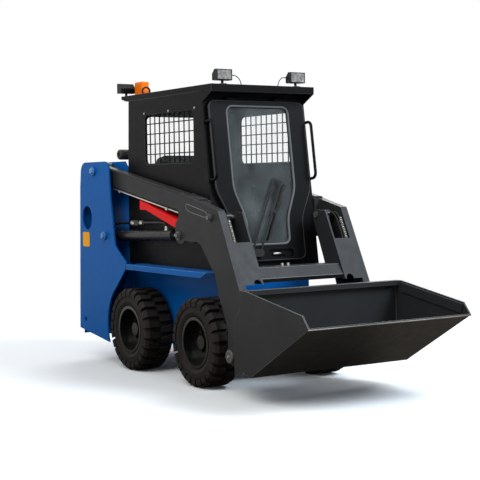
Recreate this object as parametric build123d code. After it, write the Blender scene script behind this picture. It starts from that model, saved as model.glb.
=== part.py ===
from build123d import *
import math
import os

os.makedirs("parts", exist_ok=True)

# Compact skid steer loader. Millimetres. While a piece is drawn, X runs forward from the rear axle,
# Y to the machine's left and Z up from the ground. Points of side outlines are (x, z).

# Wheels: 23 x 8.5-12 lug tyres on deep steel discs
TYRE_R = 289
TYRE_W = 213
TYRE_SHOULDER = 34
WHEEL_GAP = 24
LUG_COUNT = 24
LUG_H = 26
LUG_LENGTH = 52
LUG_NOSE = 32
LUG_SKEW = 12
LUG_WRAP = 30
LUG_BEVEL = 20
TREAD_GROOVE = 14
WHEELBASE = 911
RIM_R = 152
RIM_WALL = 6
RIM_FLANGE_R = 166
RIM_FLANGE_T = 10
RIM_W = 190
DISC_T = 8
DISC_OFFSET = 5
HUB_R = 44
HUB_LENGTH = 38
NUT_CIRCLE_R = 72
NUT_R = 11
NUT_LENGTH = 16
NUT_COUNT = 6
SHAFT_R = 35
SHAFT_FLANGE_R = 92
SHAFT_FLANGE_T = 14
HOUSING_R = 56
HOUSING_FLANGE_R = 95
HOUSING_FLANGE_T = 14

# Clearances
FIT = 0.1
SEAT = 0.3
SWING_GAP = 5

# Chassis tub and fenders
TUB_HALF = 315
TUB_WALL = 8
TUB_FLOOR_Z = 190
DECK_Z = 747
TUB_FRONT_X = 985
BAY_FRONT_X = -352
FENDER_T = 8
FENDER_LIP = 36
FENDER_FRONT_X = 1050

# Lift towers: outer plate, inner plate and the web that joins them at the rear
TOWER_OUT = 540
TOWER_PLATE = 12
BAY_HALF = 384
INNER_PLATE = 10
ARCH_R = 345
TOWER_TOP_Z = 1480
TOWER_BASE_Z = 165
TOWER_REAR_X = -815
INNER_FRONT_X = -250
WEB_X = -768
WEB_T = 10
ACCESS_SLOT = (-655, 1066)
ACCESS_SLOT_W = 158
ACCESS_SLOT_H = 176
TIE_HOLE = (-715, 300)
TIE_HOLE_R = 20

# Engine bay
ENGINE_SIZE = (420, 500, 540)
ENGINE_X = -520
ENGINE_FOOT = 40
HOOD_Z = 1280
HOOD_T = 12
HOOD_REAR_X = -756
EXHAUST_R = 38
EXHAUST_LIP = 16
EXHAUST_X = -405
EXHAUST_Y = -240
EXHAUST_Z = 1532
EXHAUST_BEND_R = 62
EXHAUST_TIP_Y = -396
EXHAUST_DIP = 60
EXHAUST_BORE = (18, 80)

# Tailgate
GATE_T = 30
GATE_X = -796
GATE_HALF = 376
GATE_LOW_Z = 222
GATE_HIGH_Z = 1268
GATE_HINGE_X = -806
GATE_HINGE_Y = 398
GATE_PIN_R = 8
GATE_KNUCKLE_R = 16
GATE_KNUCKLE_H = 45
GATE_HINGE_ZS = (400, 1040)

# Cab
CAB_HALF = 406
CAB_WALL = 20
CAB_REAR_X = -235
CAB_REAR_KNEE_Z = 1340
CAB_REAR_TOP_X = -212
CAB_TOP_Z = 1910
ROOF_T = 40
ROOF_REAR_X = -323
VISOR_X = 939
ROOF_EDGE = 22
VISOR_LIP = 47
VISOR_WALL = 8
FLOOR_T = 12
DOOR_FACE_X = 1011
DOOR_RAKE = 8.35
DOOR_T = 28
FRAME_T = 40
WINDOW_X = (32, 708)
WINDOW_Z = (1448, 1800)
WINDOW_R = 45
REAR_WINDOW_HALF = 270
REAR_WINDOW_Z = (1390, 1800)
GLASS_T = 6
GUARD_T = 6
GUARD_PITCH = 70
GUARD_WIRE = 7

# Front door, hinged along its top edge
DOOR_HALF = 372
DOOR_FOOT_HALF = 280
DOOR_LOW_Z = 802
DOOR_HIGH_Z = 1848
DOOR_JOG_Z = (1075, 1270)
DOOR_R = 45
PANE_HALF = 243
PANE_FOOT_HALF = 165
PANE_LOW_Z = 905
PANE_HIGH_Z = 1815
PANE_R = 42
DOORWAY_INSET = 40
DOOR_HINGE_UP = 20
DOOR_HINGE_Y = 190
DOOR_PIN_R = 8
DOOR_KNUCKLE_R = 14
DOOR_KNUCKLE_W = 60
HINGE_LUG_T = 12
LATCH_AT = (84, 842)
LATCH_SIZE = (196, 56)
LATCH_DEPTH = 14
LATCH_R = 20
LEVER_SIZE = (84, 14)
WIPER_MOTOR_AT = (-118, 850)
WIPER_MOTOR_SIZE = (104, 50)
WIPER_MOTOR_H = 26
WIPER_TOP = (100, 1318)
WIPER_ARM_W = 9
WIPER_ARM_GAP = 58
WIPER_ARM_LIFT = 5
WIPER_ARM_T = 6
WIPER_BLADE = (400, 11)
WIPER_BLADE_GAP = 34

# Grab handles on the front pillars
HANDLE_Y = 390
HANDLE_Z = (1335, 1715)
HANDLE_R = 10
HANDLE_REACH = 84
HANDLE_BEND_R = 36

# Lamps on the roof
LAMP_W = 118
LAMP_DEPTH = 60
LAMP_Z = (26, 98)
LAMP_RIM = 6
LAMP_RECESS = 6
LAMP_STALK_R = 9
LAMP_FOOT = (50, 36, 6)
FRONT_LAMPS = (888, 290)
REAR_LAMP = (-318, -345)
REAR_LAMP_REACH = 44
BEACON_AT = (-262, -268)
BEACON_SIZE = (118, 64, 106)
BEACON_R = 14

# Lift arms
ARM_PIVOT = (-527, 1413)
ARM_OUT = 505
ARM_PLATE = 10
TUBE_W = 75
TUBE_H = 132
TUBE_PIVOT_UP = 20
TUBE_DROP = 9.7
TUBE_SETBACK = 169
TUBE_R = 16
PIVOT_BOSS_R = 62
PIVOT_PIN_R = 25
LEG_BOX_W = 50
LEG_INNER_PLATE = 12
LEG_CHANNEL_W = 187
ELBOW_INNER_PLATE = 8
LIFT_EYE = (672, 970)
LIFT_EYE_R = 52
LIFT_LUG_SHELF = (70, -32)
LIFT_LUG_FRONT = 40
LIFT_LUG_NECK = (80, 115, 150)
LIFT_LUG_STEP = 8
PLATE_R = 20
LEG_R = 40
LEG_BEND_R = 60
ELBOW_R = 110
LIFT_BASE = (-356, 941)
TILT_BASE = (1071, 1093)
TILT_BASE_R = 32
BUCKET_PIVOT = (1320, 245)
LEG_FOOT_R = 60
LEG_TIP = (700, 1250)
LEG_TAIL = (604, 1180)
LEG_TOP = (1159, 1141)
LEG_KNEE = (1386, 684)
LEG_CHIN_Z = (575, 430)
LEG_SHIN_Z = 330
LEG_BACK = ((1260, 410), (1162, 600), (1118, 730), (930, 935))
LEG_WEB_T = 10
LEG_WEB_Z = 945
COVER_TOP_Z = 940
COVER_T = 10
COVER_NOTCH_R = 30
COVER_NOTCH_IN = 40
LEG_WEB_GAP = 14
CROSSBAR_BACK = 190
CROSSBAR_H = 92
CROSSBAR_TOP = 70
CROSSBAR_NOSE = (24, 26)
CROSSBAR_LOW = 40
CROSSBAR_LIFT = 4
CROSSBAR_WALL = 8

# Seat and controls
SEAT_X = (360, -130)
SEAT_NOSE = 70
SEAT_BOX_H = 250
SEAT_H = 105
SEAT_HALF = 225
SEAT_BACK_HALF = 215
SEAT_BACK_T = 110
SEAT_BACK_H = 500
SEAT_LEAN = 75
SEAT_ROUND = 16
CONSOLE_X = (-100, 430)
CONSOLE_H = 330
CONSOLE_IN = 262
STICK = (10, 160)
STICK_GRIP = (22, 100)
STICK_LEAN = 8

# Support strut and pipes below the arms
STRUT_TOP = ((98, 1200), (655, 1064))
STRUT_H = 66
STRUT_NOSE_H = 42
STRUT_NOSE_L = 70
STRUT_TAIL_L = 82
STRUT_WALL = 6
STRUT_INSET = 4
STRUT_HOOK = (690, 720)
STRUT_HOOK_FOOT = (62, 92)
PIPE_R = 6
PIPE_INSET = 10
PIPE_RUN = (225, 1195)
PIPE_CLAMPS = (330, 1030)
CLAMP_W = 24
CLAMP_T = 6

# Cylinders
LIFT_BARREL_R = 38
LIFT_BORE_R = 30
LIFT_ROD_R = 19
LIFT_ROD_SHOWN = 148
LIFT_EYE_W = 42
LIFT_ROD_EYE_R = 34
LIFT_PIN_R = 22
LIFT_STROKE = 481
TILT_BARREL_R = 30
TILT_BORE_R = 23
TILT_ROD_R = 15
TILT_ROD_SHOWN = 189
TILT_EYE_W = 36
TILT_ROD_EYE_R = 28
TILT_PIN_R = 16
PIN_TAIL = 9
TILT_STROKE = 283
GLAND_LENGTH = 40

# Hitch and bucket
TILT_EYE = (1320, 408)
TILT_EYE_LUG_R = 42
HITCH_EAR = 12
EAR_GAP = 7
EAR_TOP_Z = 345
EAR_R = 50
EAR_RISE = 170
EYE_GAP = 2
PIN_END = 4
HITCH_PIN_R = 22
HITCH_HEAD_R = 42
HITCH_HEAD_T = 16
HITCH_HEAD_ROUND = 7
HITCH_T = 20
HITCH_HALF = 540
HITCH_Z = (205, 640)
HITCH_WINDOW_HALF = 300
HITCH_WINDOW_Z = (290, 570)
BUCKET_HALF = 600
BUCKET_WALL = 10
BUCKET_BACK_X = 1550
BUCKET_TOP_Z = 672
BUCKET_HEEL = (1550, 202)
BUCKET_SOLE = (1652, 163)
BUCKET_LIP = (2244, 504)
BUCKET_CHEEK = (2184, 576)
CHEEK_TAB_X = 1482
CHEEK_TAB_Z = (148, 500, 560)
CHEEK_NOTCH = (1563, 190)
CHEEK_TOP_L = 60
EDGE_T = 16
EDGE_LENGTH = 130
TOP_RAIL = (42, 30)

# Values that follow from the sizes above
WHEEL_Y = TUB_HALF + WHEEL_GAP + TYRE_W / 2
AXLES = (("rear", 0), ("front", WHEELBASE))
SIDES = (("left", 1), ("right", -1))
RAKE_SLOPE = math.tan(math.radians(DOOR_RAKE))
FRAME_FACE = DOOR_T + SWING_GAP
FRAME_SHIFT = -(TOWER_REAR_X + BUCKET_LIP[0]) / 2
TUBE_OUT = ARM_OUT - ARM_PLATE
TUBE_IN = TUBE_OUT - TUBE_W
LEG_IN = ARM_OUT - LEG_CHANNEL_W
LIFT_Y = (TUBE_OUT + TUBE_IN) / 2
TILT_Y = (ARM_OUT - LEG_BOX_W + LEG_IN + LEG_INNER_PLATE) / 2
TUBE_LENGTH = (TILT_BASE[0] - TUBE_SETBACK - ARM_PIVOT[0]) / math.cos(math.radians(TUBE_DROP))
LIFT_BARREL_LENGTH = math.dist(LIFT_BASE, LIFT_EYE) - LIFT_ROD_SHOWN
TILT_BARREL_LENGTH = math.dist(TILT_BASE, TILT_EYE) - TILT_ROD_SHOWN


def side_plane(y):
    return Plane(origin=(0, y, 0), x_dir=(1, 0, 0), z_dir=(0, -1, 0))


def prism(sketch, y_low, y_high):
    """A side outline in (x, z), made solid from y_low to y_high."""
    return extrude(side_plane(y_high) * sketch, amount=y_high - y_low)


def outline(points, radius=0):
    if radius:
        return make_face(FilletPolyline(*points, radius=radius, close=True))
    return make_face(Polyline(*points, close=True))


def slab(x, y, z):
    """A block from three (low, high) pairs."""
    centre = Pos((x[0] + x[1]) / 2, (y[0] + y[1]) / 2, (z[0] + z[1]) / 2)
    return centre * Box(x[1] - x[0], y[1] - y[0], z[1] - z[0])


def pin(at, radius, y_low, y_high):
    return prism(Pos(at[0], at[1]) * Circle(radius), y_low, y_high)


def span(side, near, far):
    """The (low, high) pair of two distances from the middle, on one side of the machine."""
    return tuple(sorted((side * near, side * far)))


def save(name, *shapes):
    """Write one node. Several shapes are like pieces that don't touch."""
    solids = [s for shape in shapes for s in shape.solids()]
    placed = [Pos(FRAME_SHIFT, 0, 0) * s for s in solids]
    node = placed[0] if len(placed) == 1 else Compound(children=placed)
    node.label = name
    export_step(node, f"parts/{name}.step")


def lug():
    """One block of the tread's outer row, at the top of a tyre on the Y axis: a wedge in plan, bevelled
    at the crown's edge and wrapped over the shoulder. Its flat top's corners lie on the tyre's radius."""
    half = TYRE_W / 2
    nose = LUG_NOSE / 2 + LUG_SKEW
    top = math.sqrt(TYRE_R ** 2 - max(LUG_LENGTH / 2, nose) ** 2)
    root = TYRE_R - 2 * LUG_H
    plan = make_face(Polyline((-LUG_LENGTH / 2, half), (LUG_LENGTH / 2, half), (nose, TREAD_GROOVE / 2),
                              (nose - LUG_NOSE, TREAD_GROOVE / 2), close=True))
    wrap = TYRE_R - LUG_H - LUG_WRAP
    across = make_face(Polyline((0, root), (0, top), (half - LUG_BEVEL, top), (half, top - LUG_BEVEL),
                                (half, wrap), (half - LUG_BEVEL, wrap), close=True))
    bar = extrude(Plane.YZ * across, amount=LUG_LENGTH, both=True)
    return bar & extrude(plan, amount=TYRE_R)


def tyre_ring():
    """Carcass with two staggered rows of block lugs, on the Y axis."""
    half = TYRE_W / 2
    bead = RIM_W / 2 - RIM_FLANGE_T - SEAT
    over = RIM_FLANGE_R + SEAT
    floor = TYRE_R - LUG_H
    flank = [(RIM_R + SEAT, bead), (over, bead), (over + 8, half - 12), (over + 30, half - 4),
             (floor - TYRE_SHOULDER, half - 5), (floor - 10, half - 22), (floor, half - 40)]
    profile = make_face(Polyline(*(flank + [(r, -y) for r, y in reversed(flank)]), close=True))
    ring = revolve(profile, axis=Axis.Y)
    left = lug()
    right = mirror(left, about=Plane.XZ)
    pitch = 360 / LUG_COUNT
    lean = math.degrees(math.asin(max(LUG_LENGTH / 2, LUG_NOSE / 2 + LUG_SKEW) / TYRE_R))
    blocks = [Rot(0, i * pitch - lean, 0) * left for i in range(LUG_COUNT)]
    blocks += [Rot(0, (i + 0.5) * pitch - lean, 0) * right for i in range(LUG_COUNT)]
    return ring.fuse(*blocks)


def wheel(x, side):
    """Rim, dished disc, nuts, hub and stub shaft, drawn with its outer face towards +Y."""
    edge = RIM_W / 2
    seat_edge = edge - RIM_FLANGE_T
    rim = make_face(
        Polyline((RIM_R, -seat_edge), (RIM_R, seat_edge), (RIM_FLANGE_R, seat_edge), (RIM_FLANGE_R, edge),
                 (RIM_R - RIM_WALL, edge), (RIM_R - RIM_WALL, -edge), (RIM_FLANGE_R, -edge),
                 (RIM_FLANGE_R, -seat_edge), close=True))
    disc_out = DISC_OFFSET + DISC_T
    shaft_end = TUB_HALF + 5 - WHEEL_Y
    hub = make_face(
        Polyline((0, shaft_end), (SHAFT_R, shaft_end), (SHAFT_R, DISC_OFFSET - SHAFT_FLANGE_T),
                 (SHAFT_FLANGE_R, DISC_OFFSET - SHAFT_FLANGE_T), (SHAFT_FLANGE_R, DISC_OFFSET),
                 (RIM_R - RIM_WALL / 2, DISC_OFFSET), (RIM_R - RIM_WALL / 2, disc_out), (HUB_R + 8, disc_out),
                 (HUB_R, disc_out + HUB_LENGTH), (0, disc_out + HUB_LENGTH), close=True))
    body = revolve(rim, axis=Axis.Y) + revolve(hub, axis=Axis.Y)
    nut_plane = Plane(origin=(0, disc_out, 0), x_dir=(1, 0, 0), z_dir=(0, 1, 0))
    nuts = Sketch() + PolarLocations(NUT_CIRCLE_R, NUT_COUNT) * RegularPolygon(NUT_R, 6)
    body += extrude(nut_plane * nuts, amount=NUT_LENGTH)
    turn = Rot(0, 0, 0) if side > 0 else Rot(0, 0, 180)
    return Pos(x, side * WHEEL_Y, TYRE_R) * turn * body


def axle_housing(x, side):
    end = WHEEL_Y + DISC_OFFSET - SHAFT_FLANGE_T - SWING_GAP
    at = (x, TYRE_R)
    flange = pin(at, HOUSING_FLANGE_R, *span(side, TUB_HALF, TUB_HALF + HOUSING_FLANGE_T))
    tube = pin(at, HOUSING_R, *span(side, TUB_HALF, end))
    bore = pin(at, SHAFT_R + FIT, *span(side, TUB_HALF + 2, end))
    return flange + tube - bore


def chassis_tub():
    """Welded tub: narrow between the wheels, full width below the engine bay, open on top."""
    inner = TUB_HALF - TUB_WALL
    z = (TUB_FLOOR_Z, DECK_Z)
    body = slab((BAY_FRONT_X, TUB_FRONT_X), (-TUB_HALF, TUB_HALF), z)
    hollow_z = (TUB_FLOOR_Z + TUB_WALL, DECK_Z)
    body -= slab((BAY_FRONT_X, TUB_FRONT_X - TUB_WALL), (-inner, inner), hollow_z)
    bay_floor_z = (TUB_FLOOR_Z, TUB_FLOOR_Z + TUB_WALL)
    body += slab((WEB_X + WEB_T, BAY_FRONT_X), (-BAY_HALF, BAY_HALF), bay_floor_z)
    for _, side in SIDES:
        body += slab((BAY_FRONT_X - TUB_WALL, BAY_FRONT_X), span(side, inner, BAY_HALF), z)
    return body


def fender(side):
    """Flat guard over both wheels with a folded outer lip."""
    x = (-37, FENDER_FRONT_X)
    plate = slab(x, span(side, TUB_HALF, TOWER_OUT), (DECK_Z - FENDER_T, DECK_Z))
    lip_nose = FENDER_FRONT_X - 60
    lip = outline([(x[0], DECK_Z), (FENDER_FRONT_X, DECK_Z), (FENDER_FRONT_X, DECK_Z - FENDER_T),
                   (lip_nose, DECK_Z - FENDER_LIP), (x[0], DECK_Z - FENDER_LIP)])
    return plate + prism(lip, *span(side, TOWER_OUT - FENDER_T, TOWER_OUT))


def tower(side):
    front = outline([(TOWER_REAR_X, 228), (-250, TOWER_BASE_Z - 8), (-200, 570), (-46, 712), (-37, 760),
                     (-166, 843), (-205, 878), (-263, 1200), (-290, TOWER_TOP_Z), (-745, TOWER_TOP_Z),
                     (-768, 1300)],
                    radius=[12, 8, 12, 4, 4, 12, 20, 30, 62, 80, 60])
    arch = Pos(0, TYRE_R) * Circle(ARCH_R)
    slot = Pos(*ACCESS_SLOT) * Rot(0, 0, 90) * SlotOverall(ACCESS_SLOT_H, ACCESS_SLOT_W)
    tie = Pos(*TIE_HOLE) * Circle(TIE_HOLE_R)
    holes = Pos(*ARM_PIVOT) * Circle(PIVOT_PIN_R + FIT) + Pos(*LIFT_BASE) * Circle(LIFT_PIN_R + FIT)
    outer = prism(front - arch - slot - tie - holes, *span(side, TOWER_OUT - TOWER_PLATE, TOWER_OUT))
    rear = WEB_X + WEB_T
    back = outline([(rear, TUB_FLOOR_Z), (BAY_FRONT_X, TUB_FLOOR_Z), (BAY_FRONT_X, 560), (INNER_FRONT_X, 700),
                    (INNER_FRONT_X, TOWER_TOP_Z - 60), (INNER_FRONT_X - 60, TOWER_TOP_Z),
                    (rear + 60, TOWER_TOP_Z), (rear, TOWER_TOP_Z - 60)])
    inner = prism(back - arch - holes, *span(side, BAY_HALF, BAY_HALF + INNER_PLATE))
    web_y = span(side, BAY_HALF, TOWER_OUT - TOWER_PLATE)
    web = slab((WEB_X, WEB_X + WEB_T), web_y, (TUB_FLOOR_Z, TOWER_TOP_Z - 160))
    sill = slab((WEB_X, -60), span(side, BAY_HALF, TOWER_OUT - TOWER_PLATE), (700, 708))
    return outer + inner + web + (sill - pin((0, TYRE_R), ARCH_R, -TOWER_OUT, TOWER_OUT))


def tower_pins(side):
    """The arm's pivot pin and the lift cylinder's base pin, each with a round head outside."""
    ends = span(side, BAY_HALF - 4, TOWER_OUT + 4)
    heads = span(side, TOWER_OUT + SEAT, TOWER_OUT + 12)
    pivot = pin(ARM_PIVOT, PIVOT_PIN_R, *ends) + pin(ARM_PIVOT, PIVOT_PIN_R + 8, *heads)
    base = pin(LIFT_BASE, LIFT_PIN_R, *ends) + pin(LIFT_BASE, LIFT_PIN_R + 8, *heads)
    return pivot, base


def engine_block():
    length, width, height = ENGINE_SIZE
    foot = TUB_FLOOR_Z + TUB_WALL
    block = slab((ENGINE_X - length / 2, ENGINE_X + length / 2), (-width / 2, width / 2),
                 (foot + ENGINE_FOOT, foot + ENGINE_FOOT + height))
    for x in (ENGINE_X - length / 3, ENGINE_X + length / 3):
        block += slab((x - 30, x + 30), (-width / 2 + 20, width / 2 - 20), (foot, foot + ENGINE_FOOT))
    return block


def engine_hood():
    cover = slab((HOOD_REAR_X, INNER_FRONT_X), (-BAY_HALF, BAY_HALF), (HOOD_Z, HOOD_Z + HOOD_T))
    louvres = [Pos(x, 0, 0) * slab((-9, 9), (-190, 190), (HOOD_Z, HOOD_Z + HOOD_T))
               for x in range(-700, -500, 36)]
    pipe_hole = Pos(EXHAUST_X, EXHAUST_Y, HOOD_Z + HOOD_T / 2) * Cylinder(EXHAUST_R + SEAT, HOOD_T)
    return cover - louvres - pipe_hole


def exhaust_pipe():
    """Tail pipe out of the hood, bent towards the right-hand side, with a rolled rim."""
    path = FilletPolyline((EXHAUST_X, EXHAUST_Y, HOOD_Z - EXHAUST_DIP), (EXHAUST_X, EXHAUST_Y, EXHAUST_Z),
                          (EXHAUST_X, EXHAUST_TIP_Y, EXHAUST_Z), radius=EXHAUST_BEND_R)
    section = Plane(origin=path @ 0, z_dir=path % 0) * Circle(EXHAUST_R)
    pipe = sweep(section, path=path)
    pipe = fillet(pipe.edges().sort_by(Axis.Y)[0], EXHAUST_LIP)
    bore_r, depth = EXHAUST_BORE
    mouth = Pos(EXHAUST_X, EXHAUST_TIP_Y + depth / 2, EXHAUST_Z) * Rot(90, 0, 0) * Cylinder(bore_r, depth)
    return pipe - mouth


def tailgate():
    panel = slab((GATE_X, GATE_X + GATE_T), (-GATE_HALF, GATE_HALF), (GATE_LOW_Z, GATE_HIGH_Z))
    slots = [slab((GATE_X, GATE_X + GATE_T), (-230, 230), (z, z + 18)) for z in range(760, 1140, 40)]
    panel -= slots
    for z in GATE_HINGE_ZS:
        low = z + GATE_KNUCKLE_H + 2
        arm_z = (low, low + GATE_KNUCKLE_H)
        arm = slab((GATE_HINGE_X - 6, GATE_X + 10), (GATE_HALF - 60, GATE_HINGE_Y), arm_z)
        knuckle = Pos(GATE_HINGE_X, GATE_HINGE_Y, low + GATE_KNUCKLE_H / 2) * Cylinder(GATE_KNUCKLE_R,
                                                                                      GATE_KNUCKLE_H)
        bore = Pos(GATE_HINGE_X, GATE_HINGE_Y, low + GATE_KNUCKLE_H / 2) * Cylinder(GATE_PIN_R + FIT,
                                                                                   GATE_KNUCKLE_H)
        panel += arm + knuckle
        panel -= bore
    return panel


def tailgate_hinge(z):
    """Bracket on the tower's web with the pin that the tailgate turns on."""
    at = Pos(GATE_HINGE_X, GATE_HINGE_Y, z + GATE_KNUCKLE_H / 2)
    knuckle = at * Cylinder(GATE_KNUCKLE_R, GATE_KNUCKLE_H)
    strap = slab((GATE_HINGE_X, WEB_X), (GATE_HINGE_Y + 2, GATE_HINGE_Y + GATE_KNUCKLE_R),
                 (z, z + GATE_KNUCKLE_H))
    foot = slab((WEB_X - 8, WEB_X), (GATE_HINGE_Y + 2, GATE_HINGE_Y + 70), (z, z + GATE_KNUCKLE_H))
    post = Pos(GATE_HINGE_X, GATE_HINGE_Y, z + GATE_KNUCKLE_H + 2) * Cylinder(GATE_PIN_R, 2 * GATE_KNUCKLE_H)
    return knuckle + strap + foot + post


def raked_x(z, depth):
    """X at height z, this deep behind the closed door's outer face."""
    return DOOR_FACE_X - (z - DECK_Z) * RAKE_SLOPE - depth / math.cos(math.radians(DOOR_RAKE))


DOOR_PLANE = Plane(origin=(DOOR_FACE_X, 0, DECK_Z), x_dir=(0, 1, 0),
                   z_dir=(math.cos(math.radians(DOOR_RAKE)), 0, math.sin(math.radians(DOOR_RAKE))))


def up(z):
    """Distance along the raked front at height z."""
    return (z - DECK_Z) / math.cos(math.radians(DOOR_RAKE))


def keyhole(half, foot_half, low_z, high_z, radius):
    """The door's outline: wide above, narrow between the lift arms."""
    jog_low, jog_high = (up(z) for z in DOOR_JOG_Z)
    right = [(foot_half, up(low_z)), (foot_half, jog_low), (half, jog_high), (half, up(high_z))]
    left = [(-y, h) for y, h in reversed(right)]
    return make_face(FilletPolyline(*(right + left), radius=radius, close=True))


def on_front(sketch, back, front):
    """A sketch on the raked front, solid between two depths from the door's outer face."""
    return extrude(DOOR_PLANE.offset(back) * sketch, amount=front - back)


def cab_floor():
    front = raked_x(DECK_Z + FLOOR_T, FRAME_FACE + FRAME_T)
    return slab((CAB_REAR_X + CAB_WALL, front), (-CAB_HALF + CAB_WALL, CAB_HALF - CAB_WALL),
                (DECK_Z, DECK_Z + FLOOR_T))


def rear_edge():
    return [(CAB_REAR_X, DECK_Z), (CAB_REAR_X, CAB_REAR_KNEE_Z), (CAB_REAR_TOP_X, CAB_TOP_Z)]


def window_opening(grow=0):
    width, height = WINDOW_X[1] - WINDOW_X[0], WINDOW_Z[1] - WINDOW_Z[0]
    at = Pos(sum(WINDOW_X) / 2, sum(WINDOW_Z) / 2)
    return at * RectangleRounded(width + 2 * grow, height + 2 * grow, WINDOW_R + grow)


def cab_side(side):
    front = [(raked_x(z, FRAME_FACE + FRAME_T), z) for z in (CAB_TOP_Z, DECK_Z)]
    wall = outline(rear_edge() + front) - window_opening()
    return prism(wall, *span(side, CAB_HALF - CAB_WALL, CAB_HALF))


def rear_layer(near, far):
    """The rear wall's layer between two depths from its outer face."""
    edge = rear_edge()
    inside = CAB_HALF - CAB_WALL
    layer = outline([(x + near, z) for x, z in edge] + [(x + far, z) for x, z in reversed(edge)])
    return prism(layer, -inside, inside)


def rear_window(shrink=0):
    low, high = REAR_WINDOW_Z
    hole = RectangleRounded(high - low - 2 * shrink, 2 * (REAR_WINDOW_HALF - shrink), WINDOW_R)
    at = Pos(CAB_REAR_X, 0, (low + high) / 2) * Rot(0, 90, 0)
    return at * extrude(hole, amount=4 * CAB_WALL, both=True)


def cab_rear():
    return rear_layer(0, CAB_WALL) - rear_window()


def cab_front():
    shell = outline([(raked_x(z, FRAME_FACE + depth), z) for z, depth in
                     ((DECK_Z, 0), (CAB_TOP_Z, 0), (CAB_TOP_Z, FRAME_T), (DECK_Z, FRAME_T))])
    frame = prism(shell, -CAB_HALF, CAB_HALF)
    doorway = keyhole(DOOR_HALF - DOORWAY_INSET, DOOR_FOOT_HALF - DOORWAY_INSET, DOOR_LOW_Z + DOORWAY_INSET,
                      DOOR_HIGH_Z - DOORWAY_INSET, DOOR_R)
    frame -= on_front(doorway, -FRAME_FACE - 2 * FRAME_T, 0)
    hinge = door_hinge()
    for side in (1, -1):
        y0 = side * DOOR_HINGE_Y
        reach = DOOR_KNUCKLE_W / 2 + HINGE_LUG_T / 2 + 2
        for y in (y0 - reach, y0 + reach):
            frame += hinge_lug(y - HINGE_LUG_T / 2, y + HINGE_LUG_T / 2, hinge)
        frame += hinge_rod(y0 - reach, y0 + reach, hinge, DOOR_PIN_R)
    return frame


def door_hinge():
    """The door's hinge axis: depth from the door's outer face and height along the raked front."""
    return (-DOOR_T / 2, up(DOOR_HIGH_Z) + DOOR_HINGE_UP)


def hinge_lug(y_low, y_high, hinge):
    depth, h = hinge
    root, low, high = -FRAME_FACE - 1, h - DOOR_KNUCKLE_R, h + DOOR_KNUCKLE_R
    shape = outline([(root, low), (depth, low), (depth, high), (root, high)])
    lug = extrude(rake_side(y_high) * shape, amount=y_high - y_low)
    return lug + hinge_rod(y_low, y_high, hinge, DOOR_KNUCKLE_R)


def rake_side(y):
    """A plane across the raked front: local x is depth from the door's face, local y is up along it."""
    return Plane(origin=(DOOR_FACE_X, y, DECK_Z), x_dir=DOOR_PLANE.z_dir, z_dir=(0, -1, 0))


def hinge_rod(y_low, y_high, hinge, radius):
    return extrude(rake_side(y_high) * (Pos(*hinge) * Circle(radius)), amount=y_high - y_low)


def cab_door():
    leaf = on_front(keyhole(DOOR_HALF, DOOR_FOOT_HALF, DOOR_LOW_Z, DOOR_HIGH_Z, DOOR_R), -DOOR_T, 0)
    leaf -= on_front(keyhole(PANE_HALF, PANE_FOOT_HALF, PANE_LOW_Z, PANE_HIGH_Z, PANE_R), -DOOR_T, 0)
    hinge = door_hinge()
    for side in (1, -1):
        low, high = side * DOOR_HINGE_Y - DOOR_KNUCKLE_W / 2, side * DOOR_HINGE_Y + DOOR_KNUCKLE_W / 2
        strap = make_face(Polyline((-DOOR_T, hinge[1] - 40), (0, hinge[1] - 40), (0, hinge[1]),
                                   (-DOOR_T, hinge[1]), close=True))
        leaf += extrude(rake_side(high) * strap, amount=high - low)
        leaf += hinge_rod(low, high, hinge, DOOR_KNUCKLE_R)
        leaf -= hinge_rod(low, high, hinge, DOOR_PIN_R + FIT)
    latch = Pos(LATCH_AT[0], up(LATCH_AT[1]))
    leaf -= on_front(latch * RectangleRounded(*LATCH_SIZE, LATCH_R), -LATCH_DEPTH, 0)
    return leaf + on_front(latch * RectangleRounded(*LEVER_SIZE, LEVER_SIZE[1] / 3), -LATCH_DEPTH - 1, -SEAT)


def door_glass():
    pane = keyhole(PANE_HALF - SEAT, PANE_FOOT_HALF - SEAT, PANE_LOW_Z + SEAT, PANE_HIGH_Z - SEAT, PANE_R)
    return on_front(pane, -DOOR_T / 2 - GLASS_T / 2, -DOOR_T / 2 + GLASS_T / 2)


def door_wiper():
    """Motor on the door's foot rail, two parallel arms and the blade that they carry over the glass."""
    glass = -DOOR_T / 2 + GLASS_T / 2
    foot = (WIPER_MOTOR_AT[0], up(WIPER_MOTOR_AT[1]))
    top = (WIPER_TOP[0], up(WIPER_TOP[1]))
    run = math.dist(foot, top)
    along = Pos(*foot) * Rot(0, 0, math.degrees(math.atan2(top[1] - foot[1], top[0] - foot[0])))
    low, high = WIPER_ARM_LIFT, WIPER_ARM_LIFT + WIPER_ARM_T
    wiper = on_front(Pos(*foot) * RectangleRounded(*WIPER_MOTOR_SIZE, LATCH_R), SEAT, WIPER_MOTOR_H)
    for offset in (-WIPER_ARM_GAP / 2, WIPER_ARM_GAP / 2):
        wiper += on_front(along * Pos(run / 2, offset) * Rectangle(run, WIPER_ARM_W), low, high)
    bridge = Rectangle(2 * WIPER_ARM_W, WIPER_ARM_GAP + WIPER_ARM_W)
    wiper += on_front(along * Pos(run, 0) * bridge, low, high)
    blade_length, blade_w = WIPER_BLADE
    blade_at = Pos(run - blade_length / 2, -WIPER_ARM_GAP / 2 - WIPER_BLADE_GAP)
    wiper += on_front(along * blade_at * Rectangle(blade_length, blade_w), glass + SEAT, high)
    link_at = Pos(run - blade_length / 2, -WIPER_ARM_GAP / 2 - WIPER_BLADE_GAP / 2)
    return wiper + on_front(along * link_at * Rectangle(2 * WIPER_ARM_W, WIPER_BLADE_GAP), low, high)


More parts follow.
